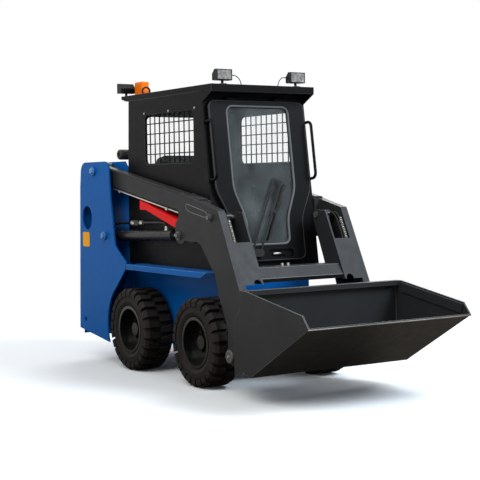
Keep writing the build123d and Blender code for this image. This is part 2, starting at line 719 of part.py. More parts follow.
def cab_roof():
    top = CAB_TOP_Z + ROOF_T
    frame_x = raked_x(CAB_TOP_Z, FRAME_FACE)
    profile = outline([(ROOF_REAR_X, top - ROOF_EDGE), (ROOF_REAR_X, top), (VISOR_X, top),
                       (VISOR_X, top - VISOR_LIP), (frame_x, CAB_TOP_Z), (CAB_REAR_TOP_X - 40, CAB_TOP_Z)])
    roof = prism(profile, -CAB_HALF, CAB_HALF)
    inside = CAB_HALF - VISOR_WALL
    pocket = slab((frame_x + VISOR_WALL, VISOR_X - VISOR_WALL), (-inside, inside),
                  (top - VISOR_LIP - 10, top - 10))
    roof -= pocket
    low_z = DOOR_HIGH_Z - 10
    gusset = outline([(frame_x, CAB_TOP_Z), (VISOR_X, CAB_TOP_Z), (VISOR_X, top - VISOR_LIP),
                      (raked_x(low_z, FRAME_FACE), low_z)])
    for _, side in SIDES:
        roof += prism(gusset, *span(side, CAB_HALF - VISOR_WALL, CAB_HALF))
    return roof


def window_guard(side):
    """Steel grid set in the side window."""
    grid = window_opening(-SEAT) - window_opening(-GUARD_WIRE)
    length, height = WINDOW_X[1] - WINDOW_X[0], WINDOW_Z[1] - WINDOW_Z[0]
    at = Pos(sum(WINDOW_X) / 2, sum(WINDOW_Z) / 2)
    columns, rows = round(length / GUARD_PITCH), round(height / GUARD_PITCH)
    bars = Sketch() + GridLocations(length / columns, 0, columns - 1, 1) * Rectangle(GUARD_WIRE, height)
    bars += GridLocations(0, height / rows, 1, rows - 1) * Rectangle(length, GUARD_WIRE)
    grid += (at * bars) & window_opening(-SEAT)
    return prism(grid, *span(side, CAB_HALF - 4 - GUARD_T, CAB_HALF - 4))


def side_pane(side):
    depth = CAB_HALF - CAB_WALL + 2
    return prism(window_opening(-SEAT), *span(side, depth, depth + GLASS_T))


def rear_pane():
    depth = CAB_WALL / 2
    return rear_layer(depth, depth + GLASS_T) & rear_window(SEAT)


def seat():
    """Pedestal, cushion and back."""
    floor = DECK_Z + FLOOR_T
    base = floor + SEAT_BOX_H
    front, rear = SEAT_X
    pedestal = slab((rear, front - SEAT_NOSE), (-SEAT_BACK_HALF, SEAT_BACK_HALF), (floor, base))
    cushion = outline([(rear, base), (front - PLATE_R, base), (front, base + SEAT_H / 2),
                       (front - SEAT_NOSE / 2, base + SEAT_H), (rear, base + SEAT_H - PLATE_R)],
                      radius=SEAT_ROUND)
    foot = base + SEAT_H - PLATE_R - 1
    top = base + SEAT_BACK_H
    back = outline([(rear, foot), (rear + SEAT_BACK_T, foot), (rear + SEAT_BACK_T - SEAT_LEAN, top),
                    (rear - SEAT_LEAN, top + PLATE_R)], radius=SEAT_ROUND)
    return pedestal + prism(cushion, -SEAT_HALF, SEAT_HALF) + prism(back, -SEAT_BACK_HALF, SEAT_BACK_HALF)


def control_levers(side):
    """Console beside the seat with one stick and its grip."""
    floor = DECK_Z + FLOOR_T
    rear, front = CONSOLE_X
    shelf, slope = floor + CONSOLE_H, CONSOLE_H / 2
    box = outline([(rear, floor), (front, floor), (front, shelf - slope), (front - slope / 2, shelf),
                   (rear, shelf)], radius=PLATE_R)
    console = prism(box, *span(side, CONSOLE_IN, CAB_HALF - CAB_WALL))
    y = side * (CONSOLE_IN + CAB_HALF) / 2
    place = Pos(front - slope, y, shelf - STICK_GRIP[1] / 10) * Rot(0, STICK_LEAN, 0)
    stick = Pos(0, 0, STICK[1] / 2) * Cylinder(*STICK)
    grip = Pos(0, 0, STICK[1]) * Cylinder(*STICK_GRIP)
    return console + place * (stick + grip)


def grab_handle(side):
    """Bent tube on the front pillar."""
    foot = -FRAME_FACE
    reach = foot + HANDLE_REACH
    low, high = (up(z) for z in HANDLE_Z)
    path = rake_side(side * HANDLE_Y) * FilletPolyline((foot, low), (reach, low), (reach, high), (foot, high),
                                                       radius=HANDLE_BEND_R)
    section = Plane(origin=path @ 0, z_dir=path % 0) * Circle(HANDLE_R)
    return sweep(section, path=path)


def work_lamp(x, y, facing, reach=0):
    """Square lamp on a short stalk; facing is 1 forward, -1 to the rear. A foot plate behind the stalk
    carries a lamp that reaches past the roof's edge. Returns housing and lens."""
    low, high = LAMP_Z
    half, face = LAMP_W / 2, LAMP_DEPTH / 2
    housing = outline([(-face, low), (face, low), (face, high), (0, high), (-face, high - face)],
                      radius=LAMP_RIM)
    floor = face - LAMP_RECESS
    inside, inner_z = half - LAMP_RIM, (low + LAMP_RIM, high - LAMP_RIM)
    lamp = prism(housing, -half, half) - slab((floor, face), (-inside, inside), inner_z)
    foot_x, foot_y, foot_t = LAMP_FOOT
    lamp += Pos(0, 0, (low + 1) / 2) * Cylinder(LAMP_STALK_R, low + 1)
    lamp += slab((-reach - foot_x / 2, foot_x / 2), (-foot_y / 2, foot_y / 2), (0, foot_t))
    lens = slab((floor + SEAT, face - 1), (-inside + SEAT, inside - SEAT),
                (inner_z[0] + SEAT, inner_z[1] - SEAT))
    place = Pos(x + facing * reach, y, CAB_TOP_Z + ROOF_T) * Rot(0, 0, 0 if facing > 0 else 180)
    return place * lamp, place * lens


def beacon():
    width, depth, height = BEACON_SIZE
    body = extrude(Pos(*BEACON_AT) * RectangleRounded(width, depth, BEACON_R), amount=height)
    body = fillet(body.edges().group_by(Axis.Z)[-1], BEACON_R / 2)
    return Pos(0, 0, CAB_TOP_Z + ROOF_T) * body


def along_tube(u, v):
    """A point of the arm's side view, u along the tube from the pivot and v square to it."""
    drop = math.radians(TUBE_DROP)
    return (ARM_PIVOT[0] + u * math.cos(drop) + v * math.sin(drop),
            ARM_PIVOT[1] - u * math.sin(drop) + v * math.cos(drop))


def arm_tube(side):
    high = TUBE_H / 2 - TUBE_PIVOT_UP
    low = high - TUBE_H
    tube = prism(outline([along_tube(0, high), along_tube(TUBE_LENGTH, high), along_tube(TUBE_LENGTH, low),
                          along_tube(0, low)]), *span(side, TUBE_IN, TUBE_OUT))
    long_edges = [e for e in tube.edges() if e.length > TUBE_LENGTH * 0.9]
    tube = fillet(long_edges, TUBE_R)
    tube += pin(ARM_PIVOT, TUBE_H / 2, *span(side, TUBE_IN, TUBE_OUT))
    tube += pin(ARM_PIVOT, PIVOT_BOSS_R, *span(side, BAY_HALF + INNER_PLATE + SWING_GAP,
                                               TOWER_OUT - TOWER_PLATE - SWING_GAP))
    return tube - pin(ARM_PIVOT, PIVOT_PIN_R + FIT, -TOWER_OUT, TOWER_OUT)


def leg_front(z):
    """X of the leg's sloping front edge at height z."""
    share = (LEG_TOP[1] - z) / (LEG_TOP[1] - LEG_KNEE[1])
    return LEG_TOP[0] + share * (LEG_KNEE[0] - LEG_TOP[0])


def leg_outline():
    """The leg's outer plate, from its tongue on the tube to the bucket pivot."""
    x, z = BUCKET_PIVOT
    ex, ez = LIFT_EYE
    chin = leg_front(LEG_CHIN_Z[0])
    foot = [(chin, LEG_CHIN_Z[0]), (chin, LEG_CHIN_Z[1]), (x + LEG_FOOT_R, LEG_SHIN_Z),
            (x + LEG_FOOT_R, z - LEG_FOOT_R), (x - LEG_FOOT_R, z - LEG_FOOT_R)]
    neck = [ez + rise for rise in LIFT_LUG_NECK]
    lug_foot = [(ex + LIFT_LUG_SHELF[0], ez + LIFT_LUG_SHELF[1]), (ex + LIFT_LUG_FRONT, ez - LIFT_EYE_R),
                (ex - LIFT_EYE_R, ez - LIFT_EYE_R), (ex - LIFT_EYE_R, neck[0]), (ex - LIFT_LUG_STEP, neck[1]),
                (ex - LIFT_LUG_STEP, neck[2])]
    points = [LEG_TIP, LEG_TOP, *foot, *LEG_BACK, *lug_foot, LEG_TAIL]
    radii = [PLATE_R, PLATE_R / 2, PLATE_R, LEG_R, LEG_R, LEG_FOOT_R - 2, LEG_FOOT_R - 2, LEG_R, LEG_BEND_R,
             LEG_BEND_R, ELBOW_R, PLATE_R / 2, PLATE_R, LIFT_EYE_R - 4, PLATE_R, LIFT_LUG_STEP, LIFT_LUG_STEP,
             PLATE_R]
    return make_face(FilletPolyline(*points, radius=radii, close=True))


def arm_leg(side):
    web_x = along_tube(TUBE_LENGTH, 0)[0] + LEG_WEB_GAP
    shape = leg_outline() - Pos(*BUCKET_PIVOT) * Circle(HITCH_PIN_R + FIT)
    shape -= Pos(*TILT_BASE) * Circle(TILT_PIN_R + FIT)
    eye = Pos(*LIFT_EYE) * Circle(TILT_PIN_R + FIT)
    reach = 2 * BUCKET_PIVOT[0]
    ahead = Pos(web_x + reach / 2, 0) * Rectangle(reach, reach)
    behind = Pos(web_x + LEG_WEB_T - reach / 2, 0) * Rectangle(reach, reach)
    leg = prism(shape - eye, *span(side, TUBE_OUT, ARM_OUT))
    leg += prism(shape & ahead, *span(side, ARM_OUT - LEG_BOX_W, TUBE_OUT + SEAT))
    leg += prism((shape & behind) - eye, *span(side, TUBE_IN - ELBOW_INNER_PLATE, TUBE_IN))
    slope = (LEG_TIP[1] - LEG_TOP[1]) / (LEG_TOP[0] - LEG_TIP[0])
    web_z = (LEG_WEB_Z, LEG_TOP[1] + slope * (LEG_TOP[0] - web_x - LEG_WEB_T))
    leg += slab((web_x, web_x + LEG_WEB_T), span(side, TUBE_IN - ELBOW_INNER_PLATE, TUBE_OUT), web_z)
    return leg + leg_inner_plate(side) + leg_cover(side)


def leg_inner_plate(side):
    """The plate on the cab's side of the tilt cylinder, from the cylinder's base pin to the crossbar."""
    bx, bz = TILT_BASE
    knee_x, knee_z = LEG_KNEE
    heel_x = knee_x - CROSSBAR_BACK - PLATE_R
    top = bz + TILT_BASE_R
    plate = make_face(FilletPolyline(
        (bx - TILT_BASE_R, top), (leg_front(top), top), (knee_x, knee_z), (heel_x, knee_z),
        (heel_x, knee_z + LEG_BEND_R), (bx - TILT_BASE_R, bz - TILT_BASE_R),
        radius=[TILT_BASE_R - 2, PLATE_R / 2, PLATE_R / 2, PLATE_R / 2, TILT_BASE_R - 2, TILT_BASE_R - 2],
        close=True))
    plate -= Pos(bx, bz) * Circle(TILT_PIN_R + FIT)
    return prism(plate, *span(side, LEG_IN, LEG_IN + LEG_INNER_PLATE))


def leg_cover(side):
    """Sheet on the leg's front with a half-round notch over the tilt cylinder."""
    top, low = COVER_TOP_Z, LEG_KNEE[1]
    sheet = outline([(leg_front(top), top), (leg_front(low), low), (leg_front(low) - COVER_T, low),
                     (leg_front(top) - COVER_T, top)])
    cover = prism(sheet, *span(side, LEG_IN, ARM_OUT - 2))
    notch = Pos(leg_front(low), side * (LEG_IN + COVER_NOTCH_IN), low) * Rot(0, 90, 0)
    return cover - notch * Cylinder(COVER_NOTCH_R, 12 * COVER_T)


def arm_crossbar():
    """Folded box that ties the two legs together in front of the cab."""
    x, low = LEG_KNEE[0], LEG_KNEE[1] + CROSSBAR_LIFT
    high = low + CROSSBAR_H
    profile = outline([(x - CROSSBAR_BACK, low), (x - CROSSBAR_LOW, low),
                       (x - CROSSBAR_NOSE[0], low + CROSSBAR_NOSE[1]), (x - CROSSBAR_TOP, high),
                       (x - CROSSBAR_BACK, high)])
    return prism(profile - offset(profile, -CROSSBAR_WALL, kind=Kind.INTERSECTION), -LEG_IN, LEG_IN)


def arm_pins(side):
    """Tilt cylinder base pin right through the leg, and a stub on each side of the lift cylinder's eye."""
    head = ARM_OUT + 12
    through = pin(TILT_BASE, TILT_PIN_R, *span(side, LEG_IN - PIN_TAIL, head))
    through += pin(TILT_BASE, TILT_PIN_R + 8, *span(side, ARM_OUT + SEAT, head))
    through += pin(TILT_BASE, TILT_PIN_R + 6, *span(side, LEG_IN - PIN_TAIL, LEG_IN - SEAT))
    eye_out, eye_in = LIFT_Y + LIFT_EYE_W / 2, LIFT_Y - LIFT_EYE_W / 2
    outer = pin(LIFT_EYE, TILT_PIN_R, *span(side, eye_out + SWING_GAP, head))
    outer += pin(LIFT_EYE, TILT_PIN_R + 12, *span(side, ARM_OUT + SEAT, head))
    inner = pin(LIFT_EYE, TILT_PIN_R, *span(side, TUBE_IN - ELBOW_INNER_PLATE, eye_in - SWING_GAP))
    return through, outer, inner


def safety_strut():
    """Red channel stowed below the right arm's tube. It is set over a lift rod to hold the arms up."""
    (tail_x, tail_z), (nose_x, nose_z) = STRUT_TOP
    top = [(tail_x, tail_z), (nose_x, nose_z)]
    under = [(nose_x, nose_z - STRUT_NOSE_H), (nose_x - STRUT_NOSE_L, nose_z - STRUT_NOSE_H),
             (tail_x + STRUT_TAIL_L, tail_z - STRUT_H), (tail_x, tail_z - STRUT_H)]
    out, inside = TUBE_OUT - STRUT_INSET, TUBE_IN + STRUT_INSET
    body = prism(outline(top + under, radius=STRUT_WALL), -out, -inside)
    hollow = outline([(tail_x - 1, tail_z - STRUT_WALL - 4), (nose_x - STRUT_WALL, nose_z - STRUT_WALL - 4),
                      (nose_x - STRUT_WALL, nose_z - STRUT_H), (tail_x - 1, tail_z - STRUT_H - 30)])
    body -= prism(hollow, -out + STRUT_WALL, -inside - STRUT_WALL)
    below = -TUBE_H / 2 - TUBE_PIVOT_UP - SEAT
    hook = outline([along_tube(STRUT_HOOK[0], below), along_tube(STRUT_HOOK[1], below),
                    (tail_x + STRUT_HOOK_FOOT[1], tail_z - STRUT_H / 2),
                    (tail_x + STRUT_HOOK_FOOT[0], tail_z - STRUT_H / 3)])
    beside = -TUBE_OUT + PIPE_INSET + PIPE_R + STRUT_INSET
    return body + prism(hook, beside, beside + STRUT_WALL)


def arm_pipe(side):
    """Steel hydraulic line under the tube, with its two clamps."""
    below = -TUBE_H / 2 - TUBE_PIVOT_UP
    y = side * (TUBE_OUT - PIPE_INSET)
    centre = below - PIPE_R - 2
    start, end = Vector(*along_tube(PIPE_RUN[0], centre)), Vector(*along_tube(PIPE_RUN[1], centre))
    way = end - start
    line = Plane(origin=(start.X, y, start.Y), z_dir=(way.X, 0, way.Y)) * Circle(PIPE_R)
    pipe = extrude(line, amount=way.length)
    foot = below - 2 * PIPE_R - CLAMP_T
    for u in PIPE_CLAMPS:
        clamp = outline([along_tube(u, below - SEAT), along_tube(u + CLAMP_W, below - SEAT),
                         along_tube(u + CLAMP_W, foot), along_tube(u, foot)])
        pipe += prism(clamp, y - CLAMP_W / 2, y + CLAMP_W / 2)
    return pipe


def barrel(base, eye, y, radius, bore_r, rod_r, length, pin_r, eye_r, eye_w):
    """Cylinder barrel from its base eye towards the rod's eye, bored for the rod."""
    axis = Vector(eye[0] - base[0], 0, eye[1] - base[1]).normalized()
    start = Vector(base[0], y, base[1])

    def round_bar(r, near, far):
        return extrude(Plane(origin=start + axis * near, z_dir=axis) * Circle(r), amount=far - near)

    body = round_bar(radius, eye_r * 0.6, length)
    body += pin(base, eye_r, y - eye_w / 2, y + eye_w / 2)
    body -= round_bar(bore_r, eye_r + 22, length - GLAND_LENGTH)
    body -= round_bar(rod_r + FIT, length - GLAND_LENGTH - 1, length + 1)
    return body - pin(base, pin_r + FIT, y - eye_w, y + eye_w)


def rod(base, eye, y, rod_r, barrel_length, stroke, pin_r, eye_r, eye_w):
    """Rod that reaches far enough into the barrel to stay in its gland at full stroke."""
    axis = Vector(base[0] - eye[0], 0, base[1] - eye[1])
    exposed = axis.length - barrel_length
    length = exposed + stroke + GLAND_LENGTH + 15
    bar = extrude(Plane(origin=(eye[0], y, eye[1]), z_dir=axis.normalized()) * Circle(rod_r), amount=length)
    bar += pin(eye, eye_r, y - eye_w / 2, y + eye_w / 2)
    return bar - pin(eye, pin_r + FIT, y - eye_w, y + eye_w)


def lift_barrel(side):
    return barrel(LIFT_BASE, LIFT_EYE, side * LIFT_Y, LIFT_BARREL_R, LIFT_BORE_R, LIFT_ROD_R,
                  LIFT_BARREL_LENGTH, LIFT_PIN_R, LIFT_BARREL_R + 4, 2 * LIFT_BARREL_R)


def lift_rod(side):
    return rod(LIFT_BASE, LIFT_EYE, side * LIFT_Y, LIFT_ROD_R, LIFT_BARREL_LENGTH, LIFT_STROKE, TILT_PIN_R,
               LIFT_ROD_EYE_R, LIFT_EYE_W)


def tilt_barrel(side):
    return barrel(TILT_BASE, TILT_EYE, side * TILT_Y, TILT_BARREL_R, TILT_BORE_R, TILT_ROD_R,
                  TILT_BARREL_LENGTH, TILT_PIN_R, TILT_BARREL_R, 2 * TILT_BARREL_R)


def tilt_rod(side):
    return rod(TILT_BASE, TILT_EYE, side * TILT_Y, TILT_ROD_R, TILT_BARREL_LENGTH, TILT_STROKE, TILT_PIN_R,
               TILT_ROD_EYE_R, TILT_EYE_W)


def hitch():
    """Welded carrier behind the bucket: a window plate with pivot ears and tilt ears on each side."""
    x = (BUCKET_BACK_X - HITCH_T, BUCKET_BACK_X)
    plate = slab(x, (-HITCH_HALF, HITCH_HALF), HITCH_Z)
    plate -= slab(x, (-HITCH_WINDOW_HALF, HITCH_WINDOW_HALF), HITCH_WINDOW_Z)
    px, pz = BUCKET_PIVOT
    tx, tz = TILT_EYE
    root, root_low, root_high = x[0] + 1, HITCH_Z[0] + 10, tz + EAR_RISE
    toe = (px - EAR_R, pz - EAR_R)
    low_ear = make_face(FilletPolyline(toe, (root, root_low), (root, EAR_TOP_Z), (px - EAR_R, pz + EAR_R),
                                       radius=[EAR_R - 5, 1, 1, EAR_R - 5], close=True))
    lug_top = tz + TILT_EYE_LUG_R
    tall_ear = make_face(FilletPolyline(
        toe, (root, root_low), (root, root_high), (tx + PLATE_R, lug_top), (tx - EAR_R, lug_top),
        radius=[EAR_R - 5, 1, 1, LEG_R, LEG_R], close=True))
    lug = make_face(FilletPolyline(
        (tx - TILT_EYE_LUG_R, tz - TILT_EYE_LUG_R), (root, tz - TILT_EYE_LUG_R), (root, root_high),
        (tx + PLATE_R, lug_top), (tx - TILT_EYE_LUG_R, lug_top),
        radius=[TILT_EYE_LUG_R - 6, 1, 1, LEG_R, TILT_EYE_LUG_R - 6], close=True))
    lug -= Pos(tx, tz) * Circle(TILT_PIN_R + FIT)
    bore = Pos(px, pz) * Circle(HITCH_PIN_R + FIT)
    inside = ARM_OUT - LEG_BOX_W - EAR_GAP
    for _, side in SIDES:
        plate += prism(low_ear - bore, *span(side, ARM_OUT + EAR_GAP, ARM_OUT + EAR_GAP + HITCH_EAR))
        plate += prism(tall_ear - bore, *span(side, inside - HITCH_EAR, inside))
        for edge in (TILT_Y + TILT_EYE_W / 2 + EYE_GAP, TILT_Y - TILT_EYE_W / 2 - EYE_GAP - HITCH_EAR):
            plate += prism(lug, *span(side, edge, edge + HITCH_EAR))
    return plate


def hitch_pins(side):
    """Pivot pin through the leg's foot with its domed head, and a stub in each tilt ear."""
    out = ARM_OUT + EAR_GAP + HITCH_EAR
    inside = ARM_OUT - LEG_BOX_W - EAR_GAP - HITCH_EAR
    head = pin(BUCKET_PIVOT, HITCH_HEAD_R, *span(side, out + SEAT, out + HITCH_HEAD_T))
    head = fillet(head.edges().group_by(Axis.Y)[-1 if side > 0 else 0], HITCH_HEAD_ROUND)
    pivot = head + pin(BUCKET_PIVOT, HITCH_PIN_R, *span(side, inside - PIN_END, out + PIN_END))
    stubs = []
    for edge, outward in ((TILT_Y + TILT_EYE_W / 2 + EYE_GAP, 1), (TILT_Y - TILT_EYE_W / 2 - EYE_GAP, -1)):
        far = edge + outward * (HITCH_EAR + PIN_END)
        stubs.append(pin(TILT_EYE, TILT_PIN_R, *span(side, edge, far)))
    return [pivot] + stubs


def bucket():
    """Welded bucket: folded shell, two cheeks, cutting edge and top rail."""
    outer_path = [(BUCKET_BACK_X, BUCKET_TOP_Z), BUCKET_HEEL, BUCKET_SOLE, BUCKET_LIP]
    run = Vector(BUCKET_LIP[0] - BUCKET_SOLE[0], BUCKET_LIP[1] - BUCKET_SOLE[1]).normalized()
    normal = Vector(-run.Y, run.X)
    w = BUCKET_WALL
    lip = Vector(*BUCKET_LIP)
    sole_in = Vector(*BUCKET_SOLE) + normal * w
    inner_path = [tuple(lip + normal * w - run * 4)[:2], (sole_in.X - 2, sole_in.Y),
                  (BUCKET_HEEL[0] + w, BUCKET_HEEL[1] + w * 0.7), (BUCKET_BACK_X + w, BUCKET_TOP_Z)]
    inside = BUCKET_HALF - BUCKET_WALL
    shell = prism(outline(outer_path + inner_path), -inside, inside)
    tab_low, tab_high, tab_root = CHEEK_TAB_Z
    cheek = outline([(BUCKET_BACK_X, BUCKET_TOP_Z), (BUCKET_BACK_X, tab_root), (CHEEK_TAB_X, tab_high),
                     (CHEEK_TAB_X, tab_low), CHEEK_NOTCH, BUCKET_SOLE, BUCKET_LIP, BUCKET_CHEEK,
                     (BUCKET_BACK_X + CHEEK_TOP_L, BUCKET_TOP_Z)])
    for _, side in SIDES:
        shell += prism(cheek, *span(side, inside, BUCKET_HALF))
    rail = slab((BUCKET_BACK_X, BUCKET_BACK_X + TOP_RAIL[0]), (-inside, inside),
                (BUCKET_TOP_Z - TOP_RAIL[1], BUCKET_TOP_Z))
    back = lip - run * EDGE_LENGTH
    edge = outline([tuple(lip)[:2], tuple(lip + normal * EDGE_T - run * 24)[:2],
                    tuple(back + normal * EDGE_T)[:2], tuple(back)[:2]])
    return shell + rail + prism(edge, -BUCKET_HALF, BUCKET_HALF)


def both(make):
    return [make(side) for _, side in SIDES]


save("chassis_tub", chassis_tub())
save("fenders", *both(fender))
save("lift_towers", *both(tower))
save("tower_pins", *[p for _, side in SIDES for p in tower_pins(side)])
save("engine_block", engine_block())
save("engine_hood", engine_hood())
save("exhaust_pipe", exhaust_pipe())
save("axle_housings", *[axle_housing(x, side) for _, x in AXLES for _, side in SIDES])
save("tailgate_hinges", *[tailgate_hinge(z) for z in GATE_HINGE_ZS])
save("tailgate", tailgate())

save("cab_floor", cab_floor())
save("cab_sides", *both(cab_side))
save("cab_rear", cab_rear())
save("cab_front", cab_front())
save("cab_roof", cab_roof())
save("window_guards", *both(window_guard))
save("cab_glass", *both(side_pane), rear_pane())
save("seat", seat())
save("control_levers", *both(control_levers))
save("grab_handles", *both(grab_handle))
LAMPS = [work_lamp(FRONT_LAMPS[0], side * FRONT_LAMPS[1], 1) for _, side in SIDES]
LAMPS += [work_lamp(*REAR_LAMP, -1, REAR_LAMP_REACH)]
save("work_lamps", *[lamp for lamp, _ in LAMPS])
save("lamp_lenses", *[lens for _, lens in LAMPS])
save("beacon", beacon())
save("cab_door", cab_door())
save("door_glass", door_glass())
save("door_wiper", door_wiper())

save("arm_tubes", *both(arm_tube))
save("arm_legs", *both(arm_leg))
save("arm_crossbar", arm_crossbar())
save("arm_pins", *[p for _, side in SIDES for p in arm_pins(side)])
save("safety_strut", safety_strut())
save("arm_pipes", *both(arm_pipe))
save("lift_barrels", *both(lift_barrel))
save("lift_rods", *both(lift_rod))
save("tilt_barrels", *both(tilt_barrel))
save("tilt_rods", *both(tilt_rod))
save("hitch", hitch())
save("hitch_pins", *[p for _, side in SIDES for p in hitch_pins(side)])
save("bucket", bucket())

TYRE = tyre_ring()
for end, x in AXLES:
    for hand, side in SIDES:
        save(f"tyre_{end}_{hand}", Pos(x, side * WHEEL_Y, TYRE_R) * TYRE)
        save(f"wheel_{end}_{hand}", wheel(x, side))
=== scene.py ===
import math

import bpy
from mathutils import Matrix, Vector


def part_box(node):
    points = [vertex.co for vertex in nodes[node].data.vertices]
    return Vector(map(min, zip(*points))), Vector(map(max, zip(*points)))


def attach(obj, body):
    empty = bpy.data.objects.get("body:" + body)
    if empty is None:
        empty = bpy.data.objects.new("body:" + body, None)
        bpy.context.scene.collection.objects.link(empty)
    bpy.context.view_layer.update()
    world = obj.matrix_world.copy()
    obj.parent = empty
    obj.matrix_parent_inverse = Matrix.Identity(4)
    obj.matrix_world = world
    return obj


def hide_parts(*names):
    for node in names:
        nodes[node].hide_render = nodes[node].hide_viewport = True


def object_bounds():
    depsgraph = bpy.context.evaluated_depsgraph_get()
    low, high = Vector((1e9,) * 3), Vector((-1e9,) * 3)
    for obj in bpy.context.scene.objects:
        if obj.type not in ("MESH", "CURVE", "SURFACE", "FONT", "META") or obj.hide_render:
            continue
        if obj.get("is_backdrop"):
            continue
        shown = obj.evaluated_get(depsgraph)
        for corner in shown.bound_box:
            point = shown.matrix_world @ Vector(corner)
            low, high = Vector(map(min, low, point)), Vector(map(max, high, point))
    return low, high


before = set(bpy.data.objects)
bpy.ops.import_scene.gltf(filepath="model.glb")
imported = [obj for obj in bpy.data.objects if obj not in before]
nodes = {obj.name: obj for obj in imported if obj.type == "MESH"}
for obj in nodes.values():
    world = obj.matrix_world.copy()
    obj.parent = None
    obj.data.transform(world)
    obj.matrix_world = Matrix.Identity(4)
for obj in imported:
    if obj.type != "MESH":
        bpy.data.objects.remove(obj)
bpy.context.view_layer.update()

# Camera. A long lens looks at the machine from its front right, a little above the door's middle,
# as a yard photograph cut out on white does.
CAMERA_PLACE = Vector((6.772, -4.3817, 1.3044))
CAMERA_YAW = math.radians(147.45)
CAMERA_PITCH = math.radians(-2.6965)
CAMERA_ROLL = math.radians(-0.792)
CAMERA_LENS = 89.4
CAMERA_SENSOR = 36.0
CAMERA_REACH = 200

camera = bpy.data.objects.new("camera", bpy.data.cameras.new("camera"))
bpy.context.scene.collection.objects.link(camera)
camera.data.sensor_width = CAMERA_SENSOR
camera.data.lens = CAMERA_LENS
camera.data.clip_end = CAMERA_REACH
ahead = Vector((math.cos(CAMERA_YAW) * math.cos(CAMERA_PITCH), math.sin(CAMERA_YAW) * math.cos(CAMERA_PITCH),
                math.sin(CAMERA_PITCH)))
level = Vector((math.sin(CAMERA_YAW), -math.cos(CAMERA_YAW), 0))
above = level.cross(ahead)
right = level * math.cos(CAMERA_ROLL) + above * math.sin(CAMERA_ROLL)
upward = above * math.cos(CAMERA_ROLL) - level * math.sin(CAMERA_ROLL)
turn = Matrix((right, upward, -ahead)).transposed()
camera.matrix_world = Matrix.Translation(CAMERA_PLACE) @ turn.to_4x4()
bpy.context.scene.camera = camera
bpy.context.scene.view_settings.view_transform = "Standard"

# Floor. Pale and matt, with the machine's shadow on it, fading into the white a few metres out.
# What it throws back at the machine is darker and warmer than what the camera sees of it.
FLOOR_SIZE = 30.0
FLOOR_FADE = (2.6, 6.0)
FLOOR_SEEN = (0.93, 0.93, 0.93, 1)
FLOOR_BOUNCE = (0.21, 0.17, 0.13, 1)
FLOOR_ROUGHNESS = 0.9
FLOOR_SPECULAR = 0.1

bpy.ops.object.select_all(action="DESELECT")
bpy.ops.mesh.primitive_plane_add(size=FLOOR_SIZE)
floor = bpy.context.object
floor.name = "floor"
pale = bpy.data.materials.new("pale_floor")
pale.use_nodes = True
tree = pale.node_tree
concrete = tree.nodes["Principled BSDF"]
concrete.inputs["Roughness"].default_value = FLOOR_ROUGHNESS
concrete.inputs["Specular IOR Level"].default_value = FLOOR_SPECULAR
ray = tree.nodes.new("ShaderNodeLightPath")
shade = tree.nodes.new("ShaderNodeMixRGB")
shade.inputs["Color1"].default_value = FLOOR_BOUNCE
shade.inputs["Color2"].default_value = FLOOR_SEEN
tree.links.new(ray.outputs["Is Camera Ray"], shade.inputs["Fac"])
tree.links.new(shade.outputs["Color"], concrete.inputs["Base Color"])
place = tree.nodes.new("ShaderNodeTexCoord")
distance = tree.nodes.new("ShaderNodeVectorMath")
distance.operation = "LENGTH"
fade = tree.nodes.new("ShaderNodeMapRange")
fade.interpolation_type = "SMOOTHSTEP"
fade.inputs["From Min"].default_value, fade.inputs["From Max"].default_value = FLOOR_FADE
clear = tree.nodes.new("ShaderNodeBsdfTransparent")
into_white = tree.nodes.new("ShaderNodeMixShader")
tree.links.new(place.outputs["Object"], distance.inputs[0])
tree.links.new(distance.outputs["Value"], fade.inputs["Value"])
tree.links.new(fade.outputs["Result"], into_white.inputs["Fac"])
tree.links.new(concrete.outputs["BSDF"], into_white.inputs[1])
tree.links.new(clear.outputs["BSDF"], into_white.inputs[2])
tree.links.new(into_white.outputs["Shader"], tree.nodes["Material Output"].inputs["Surface"])
floor.data.materials.append(pale)
floor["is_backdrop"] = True

# Light. An even surround that the camera, glass and gloss see as white, and three soft panels:
# a warm one on the right side, a strong cool one at the front left and a plain one behind.
SKY_SEEN = (1, 1, 1, 1)
SKY_LIGHT = (0.88, 0.95, 1.0, 1)
AMBIENT = 0.62
# Each panel's place, what it points at, its width, its watts and its tone.
LAMPS = {
    "key": ((2.5, -5.5, 6.5), (-0.2, 0, 0.8), 5.0, 340, (1.0, 0.98, 0.95)),
    "front": ((5.8, 4.0, 6.8), (0.3, -0.2, 0.9), 4.0, 900, (0.80, 0.90, 1.0)),
    "rear": ((-6.0, 4.5, 5.5), (0, 0, 0.9), 5.0, 260, (1.0, 1.0, 1.0)),
}

world = bpy.context.scene.world or bpy.data.worlds.new("studio")
bpy.context.scene.world = world
world.use_nodes = True
sky = world.node_tree
sky.nodes.clear()
seen = sky.nodes.new("ShaderNodeBackground")
seen.inputs["Color"].default_value = SKY_SEEN
seen.inputs["Strength"].default_value = 1.0
soft = sky.nodes.new("ShaderNodeBackground")
soft.inputs["Color"].default_value = SKY_LIGHT
soft.inputs["Strength"].default_value = AMBIENT
path = sky.nodes.new("ShaderNodeLightPath")
camera_or_gloss = sky.nodes.new("ShaderNodeMath")
camera_or_gloss.operation = "MAXIMUM"
or_glass = sky.nodes.new("ShaderNodeMath")
or_glass.operation = "MAXIMUM"
mix = sky.nodes.new("ShaderNodeMixShader")
out = sky.nodes.new("ShaderNodeOutputWorld")
sky.links.new(path.outputs["Is Camera Ray"], camera_or_gloss.inputs[0])
sky.links.new(path.outputs["Is Glossy Ray"], camera_or_gloss.inputs[1])
sky.links.new(camera_or_gloss.outputs[0], or_glass.inputs[0])
sky.links.new(path.outputs["Is Transmission Ray"], or_glass.inputs[1])
sky.links.new(or_glass.outputs[0], mix.inputs["Fac"])
